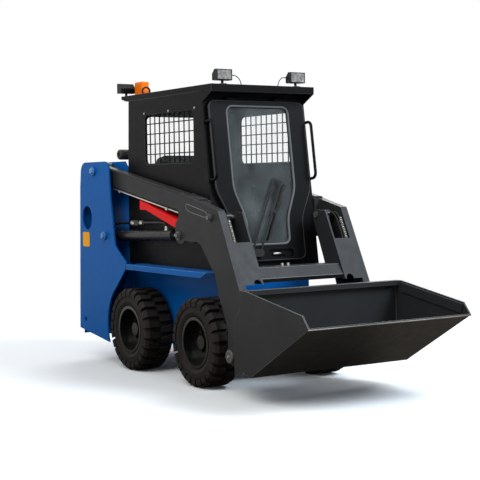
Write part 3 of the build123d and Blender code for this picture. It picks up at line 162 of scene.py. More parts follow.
sky.links.new(soft.outputs[0], mix.inputs[1])
sky.links.new(seen.outputs[0], mix.inputs[2])
sky.links.new(mix.outputs[0], out.inputs["Surface"])
for name, (lamp_at, target, size, watts, tone) in LAMPS.items():
    lamp = bpy.data.objects.new(name, bpy.data.lights.new(name, "AREA"))
    bpy.context.scene.collection.objects.link(lamp)
    lamp.data.size = size
    lamp.data.energy = watts
    lamp.data.color = tone
    lamp.location = lamp_at
    lamp.rotation_euler = (Vector(target) - Vector(lamp_at)).to_track_quat("-Z", "Y").to_euler()

# Blue weldment. Plate steel, folded and welded, in a baked gloss enamel with a little dust on what lies flat:
# the tub between the wheels, the fenders, both lift towers with their pins, the hood and the tailgate.
BLUE = (0.004, 0.104, 0.38)
EDGE_HIGHLIGHT_BLUE = (0.10, 0.27, 0.55)
DUST = (0.3, 0.29, 0.27, 1)
DUST_FROM = 0.35
# Scale and detail of the noise in the paint: its drift in colour, patches of dust, worn gloss, orange peel.
DRIFT = (2.6, 5)
PATCHES = (9, 8)
WEAR = (17, 6)
PEEL = (420, 2)
PEEL_DEPTH = 0.001
GLOSS_SWING = 0.05
NOISE_MIDDLE = (0.3, 0.7)
EDGE_RADIUS = 0.0015
SHARP = math.radians(40)
FLAT = math.radians(0.6)
WELD_GAP = 0.00002


def unevenness(tree, place, scale, detail):
    """Noise on the piece's own coordinates."""
    made = tree.nodes.new("ShaderNodeTexNoise")
    made.inputs["Scale"].default_value = scale
    made.inputs["Detail"].default_value = detail
    tree.links.new(place.outputs["Object"], made.inputs["Vector"])
    return made.outputs["Fac"]


def spread(tree, value, low, high, between=NOISE_MIDDLE):
    """Spreads what a value has between two limits over low to high."""
    made = tree.nodes.new("ShaderNodeMapRange")
    made.inputs["From Min"].default_value, made.inputs["From Max"].default_value = between
    made.inputs["To Min"].default_value = low
    made.inputs["To Max"].default_value = high
    tree.links.new(value, made.inputs["Value"])
    return made.outputs["Result"]


def enamel(name, colour, roughness, specular, dust, mottle, grain=0.04):
    """Baked paint: slow colour drift, fine orange peel, uneven gloss and dust where the surface faces up."""
    made = bpy.data.materials.new(name)
    made.use_nodes = True
    tree = made.node_tree
    shader = tree.nodes["Principled BSDF"]
    place = tree.nodes.new("ShaderNodeTexCoord")

    tint = tree.nodes.new("ShaderNodeValToRGB")
    for stop, position, share in zip(tint.color_ramp.elements, NOISE_MIDDLE, (1 - mottle, 1 + mottle)):
        stop.position = position
        stop.color = (*[c * share for c in colour], 1)
    tree.links.new(unevenness(tree, place, *DRIFT), tint.inputs["Fac"])

    facing = tree.nodes.new("ShaderNodeNewGeometry")
    split = tree.nodes.new("ShaderNodeSeparateXYZ")
    tree.links.new(facing.outputs["Normal"], split.inputs[0])
    settle = tree.nodes.new("ShaderNodeMath")
    settle.operation = "MULTIPLY"
    tree.links.new(spread(tree, split.outputs["Z"], 0, dust, (DUST_FROM, 1)), settle.inputs[0])
    tree.links.new(unevenness(tree, place, *PATCHES), settle.inputs[1])
    dusty = tree.nodes.new("ShaderNodeMixRGB")
    dusty.inputs["Color2"].default_value = DUST
    tree.links.new(settle.outputs[0], dusty.inputs["Fac"])
    tree.links.new(tint.outputs["Color"], dusty.inputs["Color1"])
    tree.links.new(dusty.outputs["Color"], shader.inputs["Base Color"])

    gloss = spread(tree, unevenness(tree, place, *WEAR), roughness - GLOSS_SWING, roughness + GLOSS_SWING)
    tree.links.new(gloss, shader.inputs["Roughness"])

    bump = tree.nodes.new("ShaderNodeBump")
    bump.inputs["Strength"].default_value = grain
    bump.inputs["Distance"].default_value = PEEL_DEPTH
    tree.links.new(unevenness(tree, place, *PEEL), bump.inputs["Height"])
    tree.links.new(bump.outputs["Normal"], shader.inputs["Normal"])
    shader.inputs["Specular IOR Level"].default_value = specular
    return made


def dress(material, *names, edge=0.0, highlight_paint=None):
    """Gives CAD nodes their finish. Edges can be rounded by a radius, with a lighter colour on them that is a
    painted highlight.
    """
    for name in names:
        piece = nodes[name]
        piece.data.materials.clear()
        piece.data.materials.append(material)
        if edge:
            weld = piece.modifiers.new("weld", "WELD")
            weld.merge_threshold = WELD_GAP
            clean = piece.modifiers.new("flats", "DECIMATE")
            clean.decimate_type = "DISSOLVE"
            clean.angle_limit = FLAT
            rounded = piece.modifiers.new("edges", "BEVEL")
            rounded.width = edge
            rounded.segments = 2
            rounded.limit_method = "ANGLE"
            rounded.angle_limit = SHARP
            rounded.harden_normals = True
            # The rounded edges take a second, lighter material: a painted highlight.
            if highlight_paint:
                piece.data.materials.append(highlight_paint)
                rounded.material = 1


blue = enamel("blue_enamel", BLUE, roughness=0.34, specular=0.04, dust=0.05, mottle=0.05, grain=0.02)
# The lighter blue is a painted highlight, put on the rounded edges and the tower pin bolts.
painted_blue_highlight = enamel("blue_painted_highlight", EDGE_HIGHLIGHT_BLUE, roughness=0.3, specular=0.3,
                   dust=0.0, mottle=0.3, grain=0.02)
dress(blue, "chassis_tub", "fenders", "lift_towers", "engine_hood", "tailgate", edge=EDGE_RADIUS,
      highlight_paint=painted_blue_highlight)
dress(blue, "tailgate_hinges", "tower_pins")

# Bolts in the ends of the tower pins. Hexagon heads on washers hold each pin's keeper,
# and all of it is painted over in blue. The bolts are drawn in the lighter blue of the painted edge
# highlight.
# Pins, forward from the rear axle and up, and a bolt's width across its flats and height.
ARM_PIVOT = (-0.527, 1.413)
LIFT_BASE = (-0.356, 0.941)
TOWER_BOLT = (0.040, 0.016)
# Left and right, and how squarely a face that is picked looks along its axis.
SIDES = (1, -1)
FACING = 0.9
rear_axle_x = (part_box("tyre_rear_right")[0][0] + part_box("tyre_rear_right")[1][0]) / 2


def spot(x, y, z):
    """A point given forward from the rear axle, to the machine's left and up from the ground."""
    return Vector((rear_axle_x + x, y, z))


def bake_place():
    """Puts the place, turn and scale of what is selected into its mesh."""
    bpy.ops.object.transform_apply(location=True, rotation=True, scale=True)


def pick(piece, rule):
    """Leaves the piece in edit mode with those faces selected whose centre and normal pass a rule."""
    bpy.ops.object.mode_set(mode="EDIT")
    bpy.ops.mesh.select_mode(type="FACE")
    bpy.ops.mesh.select_all(action="DESELECT")
    bpy.ops.object.mode_set(mode="OBJECT")
    for face in piece.data.polygons:
        face.select = rule(face.center, face.normal)
    bpy.ops.object.mode_set(mode="EDIT")


def hex_bolt(across, height):
    """Bolt head along +Z with its washer's seat at the origin. The head's rim is chamfered."""
    washer_t, washer_r = height * 0.2, across * 0.72
    washer_round = washer_t * 0.3
    chamfer, chamfer_rise = across * 0.09, across * 0.06
    dish_rim, dish_depth = across * 0.2, across * 0.02
    bpy.ops.object.select_all(action="DESELECT")
    bpy.ops.mesh.primitive_cylinder_add(vertices=28, radius=washer_r, depth=washer_t,
                                        location=(0, 0, washer_t / 2))
    washer = bpy.context.object
    pick(washer, lambda centre, normal: normal.z > FACING)
    bpy.ops.mesh.bevel(offset=washer_round, segments=2)
    bpy.ops.object.mode_set(mode="OBJECT")
    head_h = height - washer_t
    bpy.ops.mesh.primitive_cylinder_add(vertices=6, radius=across / math.sqrt(3), depth=head_h,
                                        location=(0, 0, washer_t + head_h / 2))
    head = bpy.context.object
    bake_place()
    pick(head, lambda centre, normal: normal.z > FACING)
    bpy.ops.mesh.inset(thickness=chamfer)
    bpy.ops.transform.translate(value=(0, 0, chamfer_rise))
    bpy.ops.mesh.inset(thickness=dish_rim)
    bpy.ops.transform.translate(value=(0, 0, -dish_depth))
    bpy.ops.object.mode_set(mode="OBJECT")
    washer.select_set(True)
    bpy.ops.object.join()
    return bpy.context.object


def join(pieces):
    """Makes one piece of several. The first one's origin stays."""
    bpy.ops.object.select_all(action="DESELECT")
    for piece in pieces:
        piece.select_set(True)
    bpy.context.view_layer.objects.active = pieces[0]
    bpy.ops.object.join()
    return bpy.context.object


def set_out(model, places):
    """Copies a model made along +Z to each (point, direction), joins the copies and drops the model."""
    copies = []
    for point, direction in places:
        copy = bpy.data.objects.new(model.name, model.data.copy())
        bpy.context.scene.collection.objects.link(copy)
        aim = Vector(direction).to_track_quat("Z", "Y").to_matrix().to_4x4()
        copy.matrix_world = Matrix.Translation(point) @ aim
        copies.append(copy)
    bpy.data.objects.remove(model)
    made = join(copies)
    bake_place()
    return made


def fix_on(piece, name, material, body):
    """Names a finished piece, paints it and makes it ride on its body."""
    piece.name = name
    piece.data.materials.clear()
    piece.data.materials.append(material)
    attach(piece, body)


pin_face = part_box("tower_pins")[1][1]
bolts = set_out(hex_bolt(*TOWER_BOLT), [(spot(x, side * pin_face, z), (0, side, 0))
                                        for side in SIDES for x, z in (ARM_PIVOT, LIFT_BASE)])
# The bolts' lighter blue is a painted highlight.
fix_on(bolts, "tower_pin_bolts", painted_blue_highlight, "chassis")

# Amber sign on the right-hand tower. A blank patch of vinyl film with rounded corners,
# stuck to the outer plate.
AMBER_VINYL = (0.90, 0.40, 0.008)
PATCH_AT = (-0.678, 0.905)
PATCH_SIZE = (0.112, 0.108)
PATCH_T = 0.0012
PATCH_CORNER = 0.010
tower_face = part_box("lift_towers")[0][1]
bpy.ops.object.select_all(action="DESELECT")
bpy.ops.mesh.primitive_plane_add(size=1, location=spot(PATCH_AT[0], tower_face - PATCH_T, PATCH_AT[1]),
                                 rotation=(math.pi / 2, 0, 0))
patch = bpy.context.object
patch.scale = (*PATCH_SIZE, 1)
bake_place()
corners = patch.modifiers.new("corners", "BEVEL")
corners.affect = "VERTICES"
corners.width = PATCH_CORNER
corners.segments = 4
bpy.ops.object.modifier_apply(modifier="corners")
film = patch.modifiers.new("film", "SOLIDIFY")
film.thickness = PATCH_T
bpy.ops.object.modifier_apply(modifier="film")
vinyl = enamel("amber_vinyl", AMBER_VINYL, roughness=0.45, specular=0.04,
               dust=0.05, mottle=0.06, grain=0.02)
fix_on(patch, "tower_patch", vinyl, "chassis")

# Lift arms, bucket and hitch. Heavy plate, cut, folded and welded, in a charcoal powder coat that is satin
# and faintly grainy. A lighter grey along the edges of the plates is a painted highlight.
CHARCOAL = (0.026, 0.0265, 0.0275)
EDGE_HIGHLIGHT_CHARCOAL = (0.19, 0.19, 0.19)
charcoal = enamel("charcoal_powder_coat", CHARCOAL, roughness=0.42, specular=0.1,
                  dust=0.06, mottle=0.1, grain=0.02)
painted_charcoal_highlight = enamel("charcoal_painted_highlight", EDGE_HIGHLIGHT_CHARCOAL, roughness=0.3, specular=0.4,
                       dust=0.0, mottle=0.4, grain=0.02)
dress(charcoal, "arm_tubes", "arm_legs", "arm_crossbar", "bucket", "hitch", edge=EDGE_RADIUS,
      highlight_paint=painted_charcoal_highlight)

# Pipes and pins of the arms. The hydraulic pipe with its clamps is zinc-plated steel. The turned pins
# are painted dark grey, and a bolt in the end of each holds it.
ZINC = (0.52, 0.51, 0.47)
ZINC_METAL = 0.85
PIN_GREY = (0.07, 0.07, 0.072)
LIFT_EYE = (0.672, 0.970)
TILT_BASE = (1.071, 1.093)
ARM_BOLT = (0.030, 0.013)
zinc = enamel("zinc_plate", ZINC, roughness=0.3, specular=0.5, dust=0.0, mottle=0.12, grain=0.05)
zinc.node_tree.nodes["Principled BSDF"].inputs["Metallic"].default_value = ZINC_METAL
dress(zinc, "arm_pipes")
pin_grey = enamel("pin_paint", PIN_GREY, roughness=0.26, specular=0.5, dust=0.03, mottle=0.2)
dress(pin_grey, "arm_pins", "hitch_pins")
arm_pin_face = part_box("arm_pins")[1][1]
bolts = set_out(hex_bolt(*ARM_BOLT), [(spot(x, side * arm_pin_face, z), (0, side, 0))
                                      for side in SIDES for x, z in (LIFT_EYE, TILT_BASE)])
fix_on(bolts, "arm_pin_bolts", pin_grey, "lift_arm")

# Quick couplers on the arms' crossbar, for the hoses of a powered tool. Plated steel, each with a sleeve
# and a dust cap on a hexagon that is let into the bar.
COUPLER_Y = (-0.105, -0.060)
COUPLER_R = 0.009
COUPLER_HEX = (0.020, 0.008)
SLEEVE_LENGTH = 0.014
SLEEVE_MID_Z = 0.012
SHOULDER = 0.0005
# How much narrower each next step of the sleeve and cap is, and how high.
COUPLER_STEPS = ((0.0015, 0.002), (-0.002, 0.008), (0.0015, 0.0015))
bar_low, bar_high = (Vector(corner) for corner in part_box("arm_crossbar"))
bpy.ops.object.select_all(action="DESELECT")
bpy.ops.mesh.primitive_cylinder_add(vertices=24, radius=COUPLER_R, depth=SLEEVE_LENGTH,
                                    location=(0, 0, SLEEVE_MID_Z))
sleeve = bpy.context.object
pick(sleeve, lambda centre, normal: normal.z > FACING)
for narrower, higher in COUPLER_STEPS:
    bpy.ops.mesh.extrude_region_move(TRANSFORM_OT_translate={"value": (0, 0, SHOULDER)})
    bpy.ops.transform.resize(value=(1 - narrower / COUPLER_R, 1 - narrower / COUPLER_R, 1))
    bpy.ops.mesh.extrude_region_move(TRANSFORM_OT_translate={"value": (0, 0, higher)})
bpy.ops.object.mode_set(mode="OBJECT")
coupler = join([sleeve, hex_bolt(*COUPLER_HEX)])
couplers = set_out(coupler, [(Vector(((bar_low.x + bar_high.x) / 2, y, bar_high.z)), (0, 0, 1))
                             for y in COUPLER_Y])
fix_on(couplers, "crossbar_couplers", zinc, "lift_arm")

# Red strut that is set over a lift rod to hold the arms up, and is otherwise stowed above the lift cylinder.
# Channel steel in signal red.
RED = (0.80, 0.010, 0.010)
red = enamel("red_enamel", RED, roughness=0.35, specular=0.06, dust=0.03, mottle=0.05, grain=0.02)
dress(red, "safety_strut", edge=EDGE_RADIUS)

# Hoses on the legs. In each leg a rubber hose in a coiled wire guard and a thin bare hose run down
# the front of the channel, beside the tilt cylinder, and go behind the cover to the cylinder's ports.
HOSE_RUBBER = (0.010, 0.010, 0.010)
LEG_TOP = (1.159, 1.141)
LEG_KNEE = (1.386, 0.684)
# How far out each hose lies, how far behind the leg's front edge, and its radius.
GUARDED_HOSE = (0.436, 0.018, 0.008)
THIN_HOSE = (0.418, 0.030, 0.0056)
# Heights along a hose, and how far behind its straight stretch it is there.
HOSE_RUN = ((1.068, 0.09), (1.118, 0.045), (1.083, 0.002), (1.00, 0.0), (0.93, 0.0), (0.87, 0.012),
            (0.80, 0.03))
GUARD_Z = (1.073, 0.92)
GUARD_R = 0.0115
GUARD_WIRE = 0.0018
GUARD_PITCH = 0.0065
COIL_POINTS = 8
rubber_hose = enamel("hose_rubber", HOSE_RUBBER, roughness=0.5, specular=0.25,
                     dust=0.02, mottle=0.2, grain=0.3)


def on_leg(z, back, y):
    """A point behind the leg's front edge."""
    share = (LEG_TOP[1] - z) / (LEG_TOP[1] - LEG_KNEE[1])
    return spot(LEG_TOP[0] + share * (LEG_KNEE[0] - LEG_TOP[0]) - back, y, z)


def round_curve(name, points, radius, sides, steps, closed=False):
    """A round curve that is drawn towards its points. An open one starts and ends on them."""
    route = bpy.data.curves.new(name, "CURVE")
    route.dimensions = "3D"
    route.bevel_depth = radius
    route.bevel_resolution = sides
    route.resolution_u = steps
    route.use_fill_caps = not closed
    spline = route.splines.new("NURBS")
    spline.points.add(len(points) - 1)
    for point, put in zip(spline.points, points):
        point.co = (*put, 1)
    spline.order_u = 3
    spline.use_endpoint_u = not closed
    spline.use_cyclic_u = closed
    made = bpy.data.objects.new(name, route)
    bpy.context.scene.collection.objects.link(made)
    return made


def tube(points, radius, closed=False, sides=2):
    """A round bar, bead or fixed hose, as a mesh."""
    made = round_curve("tube", points, radius, sides, steps=6, closed=closed)
    bpy.ops.object.select_all(action="DESELECT")
    bpy.context.view_layer.objects.active = made
    made.select_set(True)
    bpy.ops.object.convert(target="MESH")
    bpy.ops.object.shade_smooth_by_angle(angle=SHARP)
    return bpy.context.object


hoses = []
guards = []
for side in SIDES:
    for out_y, front, radius in (GUARDED_HOSE, THIN_HOSE):
        hoses.append(tube([on_leg(z, front + back, side * out_y) for z, back in HOSE_RUN], radius))
    out_y, front, radius = GUARDED_HOSE
    start, end = (on_leg(z, front, side * out_y) for z in GUARD_Z)
    along = (end - start).normalized()
    across = Vector((0, 1, 0))
    third = along.cross(across)
    coil = []
    for i in range(int((end - start).length / GUARD_PITCH * COIL_POINTS)):
        angle = i * math.tau / COIL_POINTS
        coil.append(start + along * (i * GUARD_PITCH / COIL_POINTS)
                    + across * (GUARD_R * math.cos(angle)) + third * (GUARD_R * math.sin(angle)))
    guards.append(tube(coil, GUARD_WIRE, sides=0))
fix_on(join(hoses), "leg_hoses", rubber_hose, "lift_arm")
fix_on(join(guards), "hose_guards", zinc, "lift_arm")

# Weld beads. Weld metal runs along the edge of each leg's tongue on its tube and round a long plug weld,
# in the lighter grey that is painted on the plates' edges as a highlight.
TONGUE = ((0.712, 1.247), (0.699, 1.244), (0.655, 1.214), (0.612, 1.184), (0.618, 1.176))
TONGUE_BEAD_R = 0.004
TONGUE_SINK = 0.009
PLUG_WELD = ((0.765, 1.178), (0.760, 1.158), (0.785, 1.132), (0.90, 1.112), (1.02, 1.091), (1.034, 1.108),
             (1.02, 1.130), (0.90, 1.154), (0.79, 1.176))
PLUG_BEAD_R = 0.0022
PLUG_SINK = 0.0015
leg_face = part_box("arm_legs")[1][1]
beads = []
for side in SIDES:
    beads.append(tube([spot(x, side * (leg_face - TONGUE_SINK), z) for x, z in TONGUE], TONGUE_BEAD_R))
    beads.append(tube([spot(x, side * (leg_face - PLUG_SINK), z) for x, z in PLUG_WELD], PLUG_BEAD_R,
                      closed=True))
# The beads' lighter grey is a painted highlight.
fix_on(join(beads), "arm_welds", painted_charcoal_highlight, "lift_arm")

# Lift and tilt cylinders. Drawn steel barrels in black gloss paint, and ground rods in hard chrome
# with an uneven film of oil.
GLOSS_BLACK = (0.010, 0.010, 0.0105)
CHROME = (0.72, 0.73, 0.75, 1)
CHROME_ROUGHNESS = (0.06, 0.22)
OIL_FILM = (60, 2)
gloss_black = enamel("black_gloss_paint", GLOSS_BLACK, roughness=0.28, specular=0.2, dust=0.02, mottle=0.1)
dress(gloss_black, "lift_barrels", "tilt_barrels")
chrome = bpy.data.materials.new("hard_chrome")
chrome.use_nodes = True
tree = chrome.node_tree
plated = tree.nodes["Principled BSDF"]
plated.inputs["Metallic"].default_value = 1.0
plated.inputs["Base Color"].default_value = CHROME
oil = unevenness(tree, tree.nodes.new("ShaderNodeTexCoord"), *OIL_FILM)
tree.links.new(spread(tree, oil, *CHROME_ROUGHNESS, between=(0, 1)), plated.inputs["Roughness"])
dress(chrome, "lift_rods", "tilt_rods")

# Hydraulic line on each lift barrel. A black steel pipe above the barrel runs from port to port
# through a coupling block, with a plated union at each of its joints.
LINE_R = 0.009
LINE_RISE = 0.088
LINE_Y = 0.4575
LINE_ROUTE = ((-0.385, 0.030), (-0.385, 0.075), (-0.33, LINE_RISE), (-0.10, LINE_RISE), (0.10, LINE_RISE),
              (0.36, LINE_RISE), (0.42, 0.075), (0.42, 0.030))
BLOCK_SIZE = (0.07, 0.034, 0.038)
BLOCK_RIM = 0.006
BOSS_REACH = 1.25
BLOCK_EDGE = 0.003
UNION = (0.026, 0.028)
# Each union's place along the barrel, its rise and its direction.
UNIONS = ((-0.075, LINE_RISE, (1, 0, 0)), (0.05, LINE_RISE, (1, 0, 0)), (-0.385, 0.034, (0, 0, 1)),
          (0.42, 0.034, (0, 0, 1)))
BARREL_SLOPE = (LIFT_EYE[1] - LIFT_BASE[1]) / (LIFT_EYE[0] - LIFT_BASE[0])


def over_barrel(x, rise, side):
    """A point above a lift barrel's axis."""
    return spot(x, side * LINE_Y, LIFT_BASE[1] + (x - LIFT_BASE[0]) * BARREL_SLOPE + rise)


def block(size, at=(0, 0, 0)):
    """A box to shape further, with its place in its mesh."""
    bpy.ops.object.select_all(action="DESELECT")
    bpy.ops.mesh.primitive_cube_add(size=1, location=at)
    made = bpy.context.object
    made.scale = size
    bake_place()
    return made


def ease_edges(piece, width, steps):
    """Rounds all edges of the active piece."""
    piece.modifiers.new("edges", "BEVEL").width = width
    piece.modifiers["edges"].segments = steps
    bpy.ops.object.modifier_apply(modifier="edges")


lines = []
unions = []
for side in SIDES:
    lines.append(tube([over_barrel(x, rise, side) for x, rise in LINE_ROUTE], LINE_R))
    coupling = block(BLOCK_SIZE, over_barrel(0.0, LINE_RISE, side))
    pick(coupling, lambda centre, normal: abs(normal.x) > FACING)
    bpy.ops.mesh.inset(thickness=BLOCK_RIM)
    bpy.ops.mesh.extrude_region_move(TRANSFORM_OT_translate={"value": (0, 0, 0)})
    bpy.ops.transform.resize(value=(BOSS_REACH, 1, 1))
    bpy.ops.object.mode_set(mode="OBJECT")
    ease_edges(coupling, BLOCK_EDGE, 2)
    lines.append(coupling)
    unions += [(over_barrel(x, rise, side), direction) for x, rise, direction in UNIONS]
fix_on(join(lines), "lift_lines", gloss_black, "lift_barrel")
fix_on(set_out(hex_bolt(*UNION), unions), "lift_line_unions", zinc, "lift_barrel")

# Cab. Pressed and welded steel panels in black powder coat, with axle housings, window guards, handles
# and levers coated alike. Plated screws are set along the top of each side window.
BLACK = (0.005, 0.005, 0.0056)
EDGE_HIGHLIGHT_BLACK = (0.045, 0.046, 0.050)
WINDOW_SCREWS = ((0.028, 1.806), (0.376, 1.806), (0.725, 1.806))
SCREW = (0.011, 0.005)
black = enamel("black_powder_coat", BLACK, roughness=0.42, specular=0.06,
               dust=0.02, mottle=0.15, grain=0.015)
# The lighter black on the panels' rounded edges is a painted highlight.
painted_black_highlight = enamel("black_painted_highlight", EDGE_HIGHLIGHT_BLACK, roughness=0.3, specular=0.3,
                    dust=0.0, mottle=0.3, grain=0.02)
dress(black, "cab_floor", "cab_sides", "cab_rear", "cab_roof", edge=EDGE_RADIUS, highlight_paint=painted_black_highlight)
dress(black, "cab_front", "cab_door", "axle_housings", "window_guards", "grab_handles", "control_levers")
cab_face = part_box("cab_sides")[1][1]
screws = set_out(hex_bolt(*SCREW), [(spot(x, side * cab_face, z), (0, side, 0))
                                    for side in SIDES for x, z in WINDOW_SCREWS])
fix_on(screws, "window_screws", zinc, "chassis")

# Panes. Clear toughened glass under a faint grey-green veil that is a painted reflection. The door's pane
# carries more of it, with dried wiper smears, than those of the sides and rear.
REFLECTION_GREY = (0.40, 0.45, 0.46, 1)
PANE_ROUGHNESS = 0.08
SMEARS = (5, 6)
SMEAR_SHARES = (0.4, 1.6)
CAB_REFLECTION = 0.03
DOOR_REFLECTION = 0.07


def clear_pane(name, reflection_share):
    """Thin glass: see-through but for a grey veil of painted reflection, uneven where it was wiped."""
    made = bpy.data.materials.new(name)
    made.use_nodes = True
    tree = made.node_tree
    film = tree.nodes["Principled BSDF"]
    # The grey is a painted reflection. Its share varies with the wiper smears.
    film.inputs["Base Color"].default_value = REFLECTION_GREY
    film.inputs["Roughness"].default_value = PANE_ROUGHNESS
    smears = unevenness(tree, tree.nodes.new("ShaderNodeTexCoord"), *SMEARS)
    tree.links.new(spread(tree, smears, *(reflection_share * share for share in SMEAR_SHARES)), film.inputs["Alpha"])
    return made


dress(clear_pane("cab_glass", CAB_REFLECTION), "cab_glass")
dress(clear_pane("door_glass", DOOR_REFLECTION), "door_glass")

# Front door's seals and latch. Grey rubber grips the glass, a black edge strip runs round the leaf,
# and a plated lever sits in the latch recess.
GREY_RUBBER = (0.115, 0.118, 0.118)
EDGE_RUBBER = (0.026, 0.026, 0.027)
DOOR_FOOT = (1.011, 0.747)
DOOR_RAKE = math.radians(8.35)
JOG_Z = (1.075, 1.270)
# Half widths above and below the jog, and heights of foot and top.
PANE = (0.243, 0.165, 0.905, 1.815)
LEAF = (0.372, 0.280, 0.802, 1.848)
CORNER_R = 0.045
GASKET_R = 0.0075
GASKET_SINK = 0.003
STRIP_R = 0.007
STRIP_SINK = 0.006
LATCH_AT = (0.053, 0.843)
LEVER_SIZE = (0.062, 0.011, 0.007)
LEVER_BOW = 0.007
LEVER_BOW_HALF = 0.035
LEVER_SINK = 0.004


def on_door(y, z, proud):
    """A point proud of the leaning front door's outer face."""
    return spot(DOOR_FOOT[0] - (z - DOOR_FOOT[1]) * math.tan(DOOR_RAKE) + proud * math.cos(DOOR_RAKE), y,
                z + proud * math.sin(DOOR_RAKE))


def seal(half, foot_half, low, high, radius, sink):
    """Tube round a leaf or pane that narrows towards its foot, with rounded corners."""
    corners = [(half, high), (half, JOG_Z[1]), (foot_half, JOG_Z[0]), (foot_half, low)]
    ring = corners + [(-y, z) for y, z in reversed(corners)]
    bpy.ops.object.select_all(action="DESELECT")
    bpy.ops.mesh.primitive_circle_add(vertices=len(ring), fill_type="NGON")
    made = bpy.context.object
    for vertex, (y, z) in zip(made.data.vertices, ring):
        vertex.co = on_door(y, z, -sink)
    bpy.ops.object.mode_set(mode="EDIT")
    bpy.ops.mesh.select_all(action="SELECT")
    bpy.ops.mesh.bevel(affect="VERTICES", offset=CORNER_R, segments=6)
    bpy.ops.mesh.select_all(action="SELECT")
    bpy.ops.mesh.delete(type="ONLY_FACE")
    bpy.ops.object.mode_set(mode="OBJECT")
    bpy.ops.object.convert(target="CURVE")
    made.data.bevel_depth = radius
    made.data.bevel_resolution = 2
    bpy.ops.object.convert(target="MESH")
    bpy.ops.object.shade_smooth_by_angle(angle=SHARP)
    return bpy.context.object


grey_rubber = enamel("grey_rubber", GREY_RUBBER, roughness=0.5, specular=0.2,
                     dust=0.02, mottle=0.12, grain=0.1)
fix_on(seal(*PANE, GASKET_R, GASKET_SINK), "door_gasket", grey_rubber, "door")
edge_rubber = enamel("edge_rubber", EDGE_RUBBER, roughness=0.4, specular=0.25,
                     dust=0.02, mottle=0.12, grain=0.1)
fix_on(seal(*LEAF, STRIP_R, STRIP_SINK), "door_edge_strip", edge_rubber, "door")

lever = block(LEVER_SIZE)
bpy.ops.object.mode_set(mode="EDIT")
bpy.ops.mesh.select_all(action="SELECT")
bpy.ops.mesh.subdivide(number_cuts=3)
bpy.ops.object.mode_set(mode="OBJECT")
for vertex in lever.data.vertices:
    vertex.co.z += LEVER_BOW * math.cos(vertex.co.x / LEVER_BOW_HALF * math.pi / 2)
soft_edges = lever.modifiers.new("soft", "SUBSURF")
soft_edges.levels = soft_edges.render_levels = 2
bpy.ops.object.modifier_apply(modifier="soft")
face_on = Matrix((Vector((0, 1, 0)), Vector((-math.sin(DOOR_RAKE), 0, math.cos(DOOR_RAKE))),
                  Vector((math.cos(DOOR_RAKE), 0, math.sin(DOOR_RAKE))))).transposed().to_4x4()
lever.matrix_world = Matrix.Translation(on_door(*LATCH_AT, -LEVER_SINK)) @ face_on
bake_place()
bpy.ops.object.shade_smooth_by_angle(angle=SHARP)
fix_on(lever, "latch_lever", zinc, "door")

# Wiper. A moulded motor cover at the door's foot, two pressed arms and a blade,
# all in semi-gloss black.
WIPER_BLACK = (0.010, 0.010, 0.011)
wiper_paint = enamel("wiper_paint", WIPER_BLACK, roughness=0.25, specular=0.3, dust=0.01, mottle=0.1)
dress(wiper_paint, "door_wiper")

# Work lamps. Die-cast black housings with fins behind, screwed to the roof, and a pressed glass lens
# with ribs over a bright reflector.
SATIN_BLACK = (0.008, 0.008, 0.0085)
LENS_GREY = (0.34, 0.33, 0.31)
RIB_SCALE = 45
RIB_WAVER = 0.6
RIB_STRENGTH = 0.6
RIB_DEPTH = 0.002
PRISM_SCALE = 60
GLINT_SHARE = 0.75
# Each lamp's place and the way it faces, forward or back.
LAMP_SPOTS = ((0.888, 0.290, 1), (0.888, -0.290, 1), (-0.362, -0.345, -1))
LAMP_BACK = 0.030
FIN_MID_Z = 0.046
FIN_SIZE = (0.012, 0.004, 0.044)
FIN_SINK = 0.001
FIN_TIP = (1, 0.5, 0.7)
FIN_PITCH = 0.014
FIN_COUNT = 7
roof_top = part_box("cab_roof")[1][2]
satin = enamel("satin_black", SATIN_BLACK, roughness=0.35, specular=0.15, dust=0.01, mottle=0.1)
dress(satin, "work_lamps")
lens = enamel("ribbed_lens", LENS_GREY, roughness=0.3, specular=0.25, dust=0.0, mottle=0.3, grain=0.0)
tree = lens.node_tree
glass = tree.nodes["Principled BSDF"]
place = tree.nodes.new("ShaderNodeTexCoord")
prisms = tree.nodes.new("ShaderNodeTexVoronoi")
prisms.inputs["Scale"].default_value = PRISM_SCALE
glints = tree.nodes.new("ShaderNodeMixRGB")
glints.blend_type = "MULTIPLY"
glints.inputs["Fac"].default_value = GLINT_SHARE
tree.links.new(place.outputs["Object"], prisms.inputs["Vector"])
tree.links.new(glass.inputs["Base Color"].links[0].from_socket, glints.inputs["Color1"])
tree.links.new(prisms.outputs["Distance"], glints.inputs["Color2"])
tree.links.new(glints.outputs["Color"], glass.inputs["Base Color"])
ribs = tree.nodes.new("ShaderNodeTexWave")
ribs.wave_type = "BANDS"
ribs.bands_direction = "Y"
ribs.inputs["Scale"].default_value = RIB_SCALE
ribs.inputs["Distortion"].default_value = RIB_WAVER
rib_bump = tree.nodes.new("ShaderNodeBump")
rib_bump.inputs["Strength"].default_value = RIB_STRENGTH
rib_bump.inputs["Distance"].default_value = RIB_DEPTH
tree.links.new(place.outputs["Object"], ribs.inputs["Vector"])
tree.links.new(ribs.outputs["Fac"], rib_bump.inputs["Height"])
tree.links.new(rib_bump.outputs["Normal"], glass.inputs["Normal"])
dress(lens, "lamp_lenses")

fins = []
for x, y, facing in LAMP_SPOTS:
    fin_x = x - facing * (LAMP_BACK + FIN_SIZE[0] / 2 - FIN_SINK)
    for i in range(FIN_COUNT):
        fin = block(FIN_SIZE, spot(fin_x, y + (i - FIN_COUNT // 2) * FIN_PITCH, roof_top + FIN_MID_Z))
        pick(fin, lambda centre, normal: normal.x * facing < -FACING)
        bpy.ops.transform.resize(value=FIN_TIP)
        bpy.ops.object.mode_set(mode="OBJECT")
        fins.append(fin)
fix_on(join(fins), "lamp_fins", satin, "chassis")

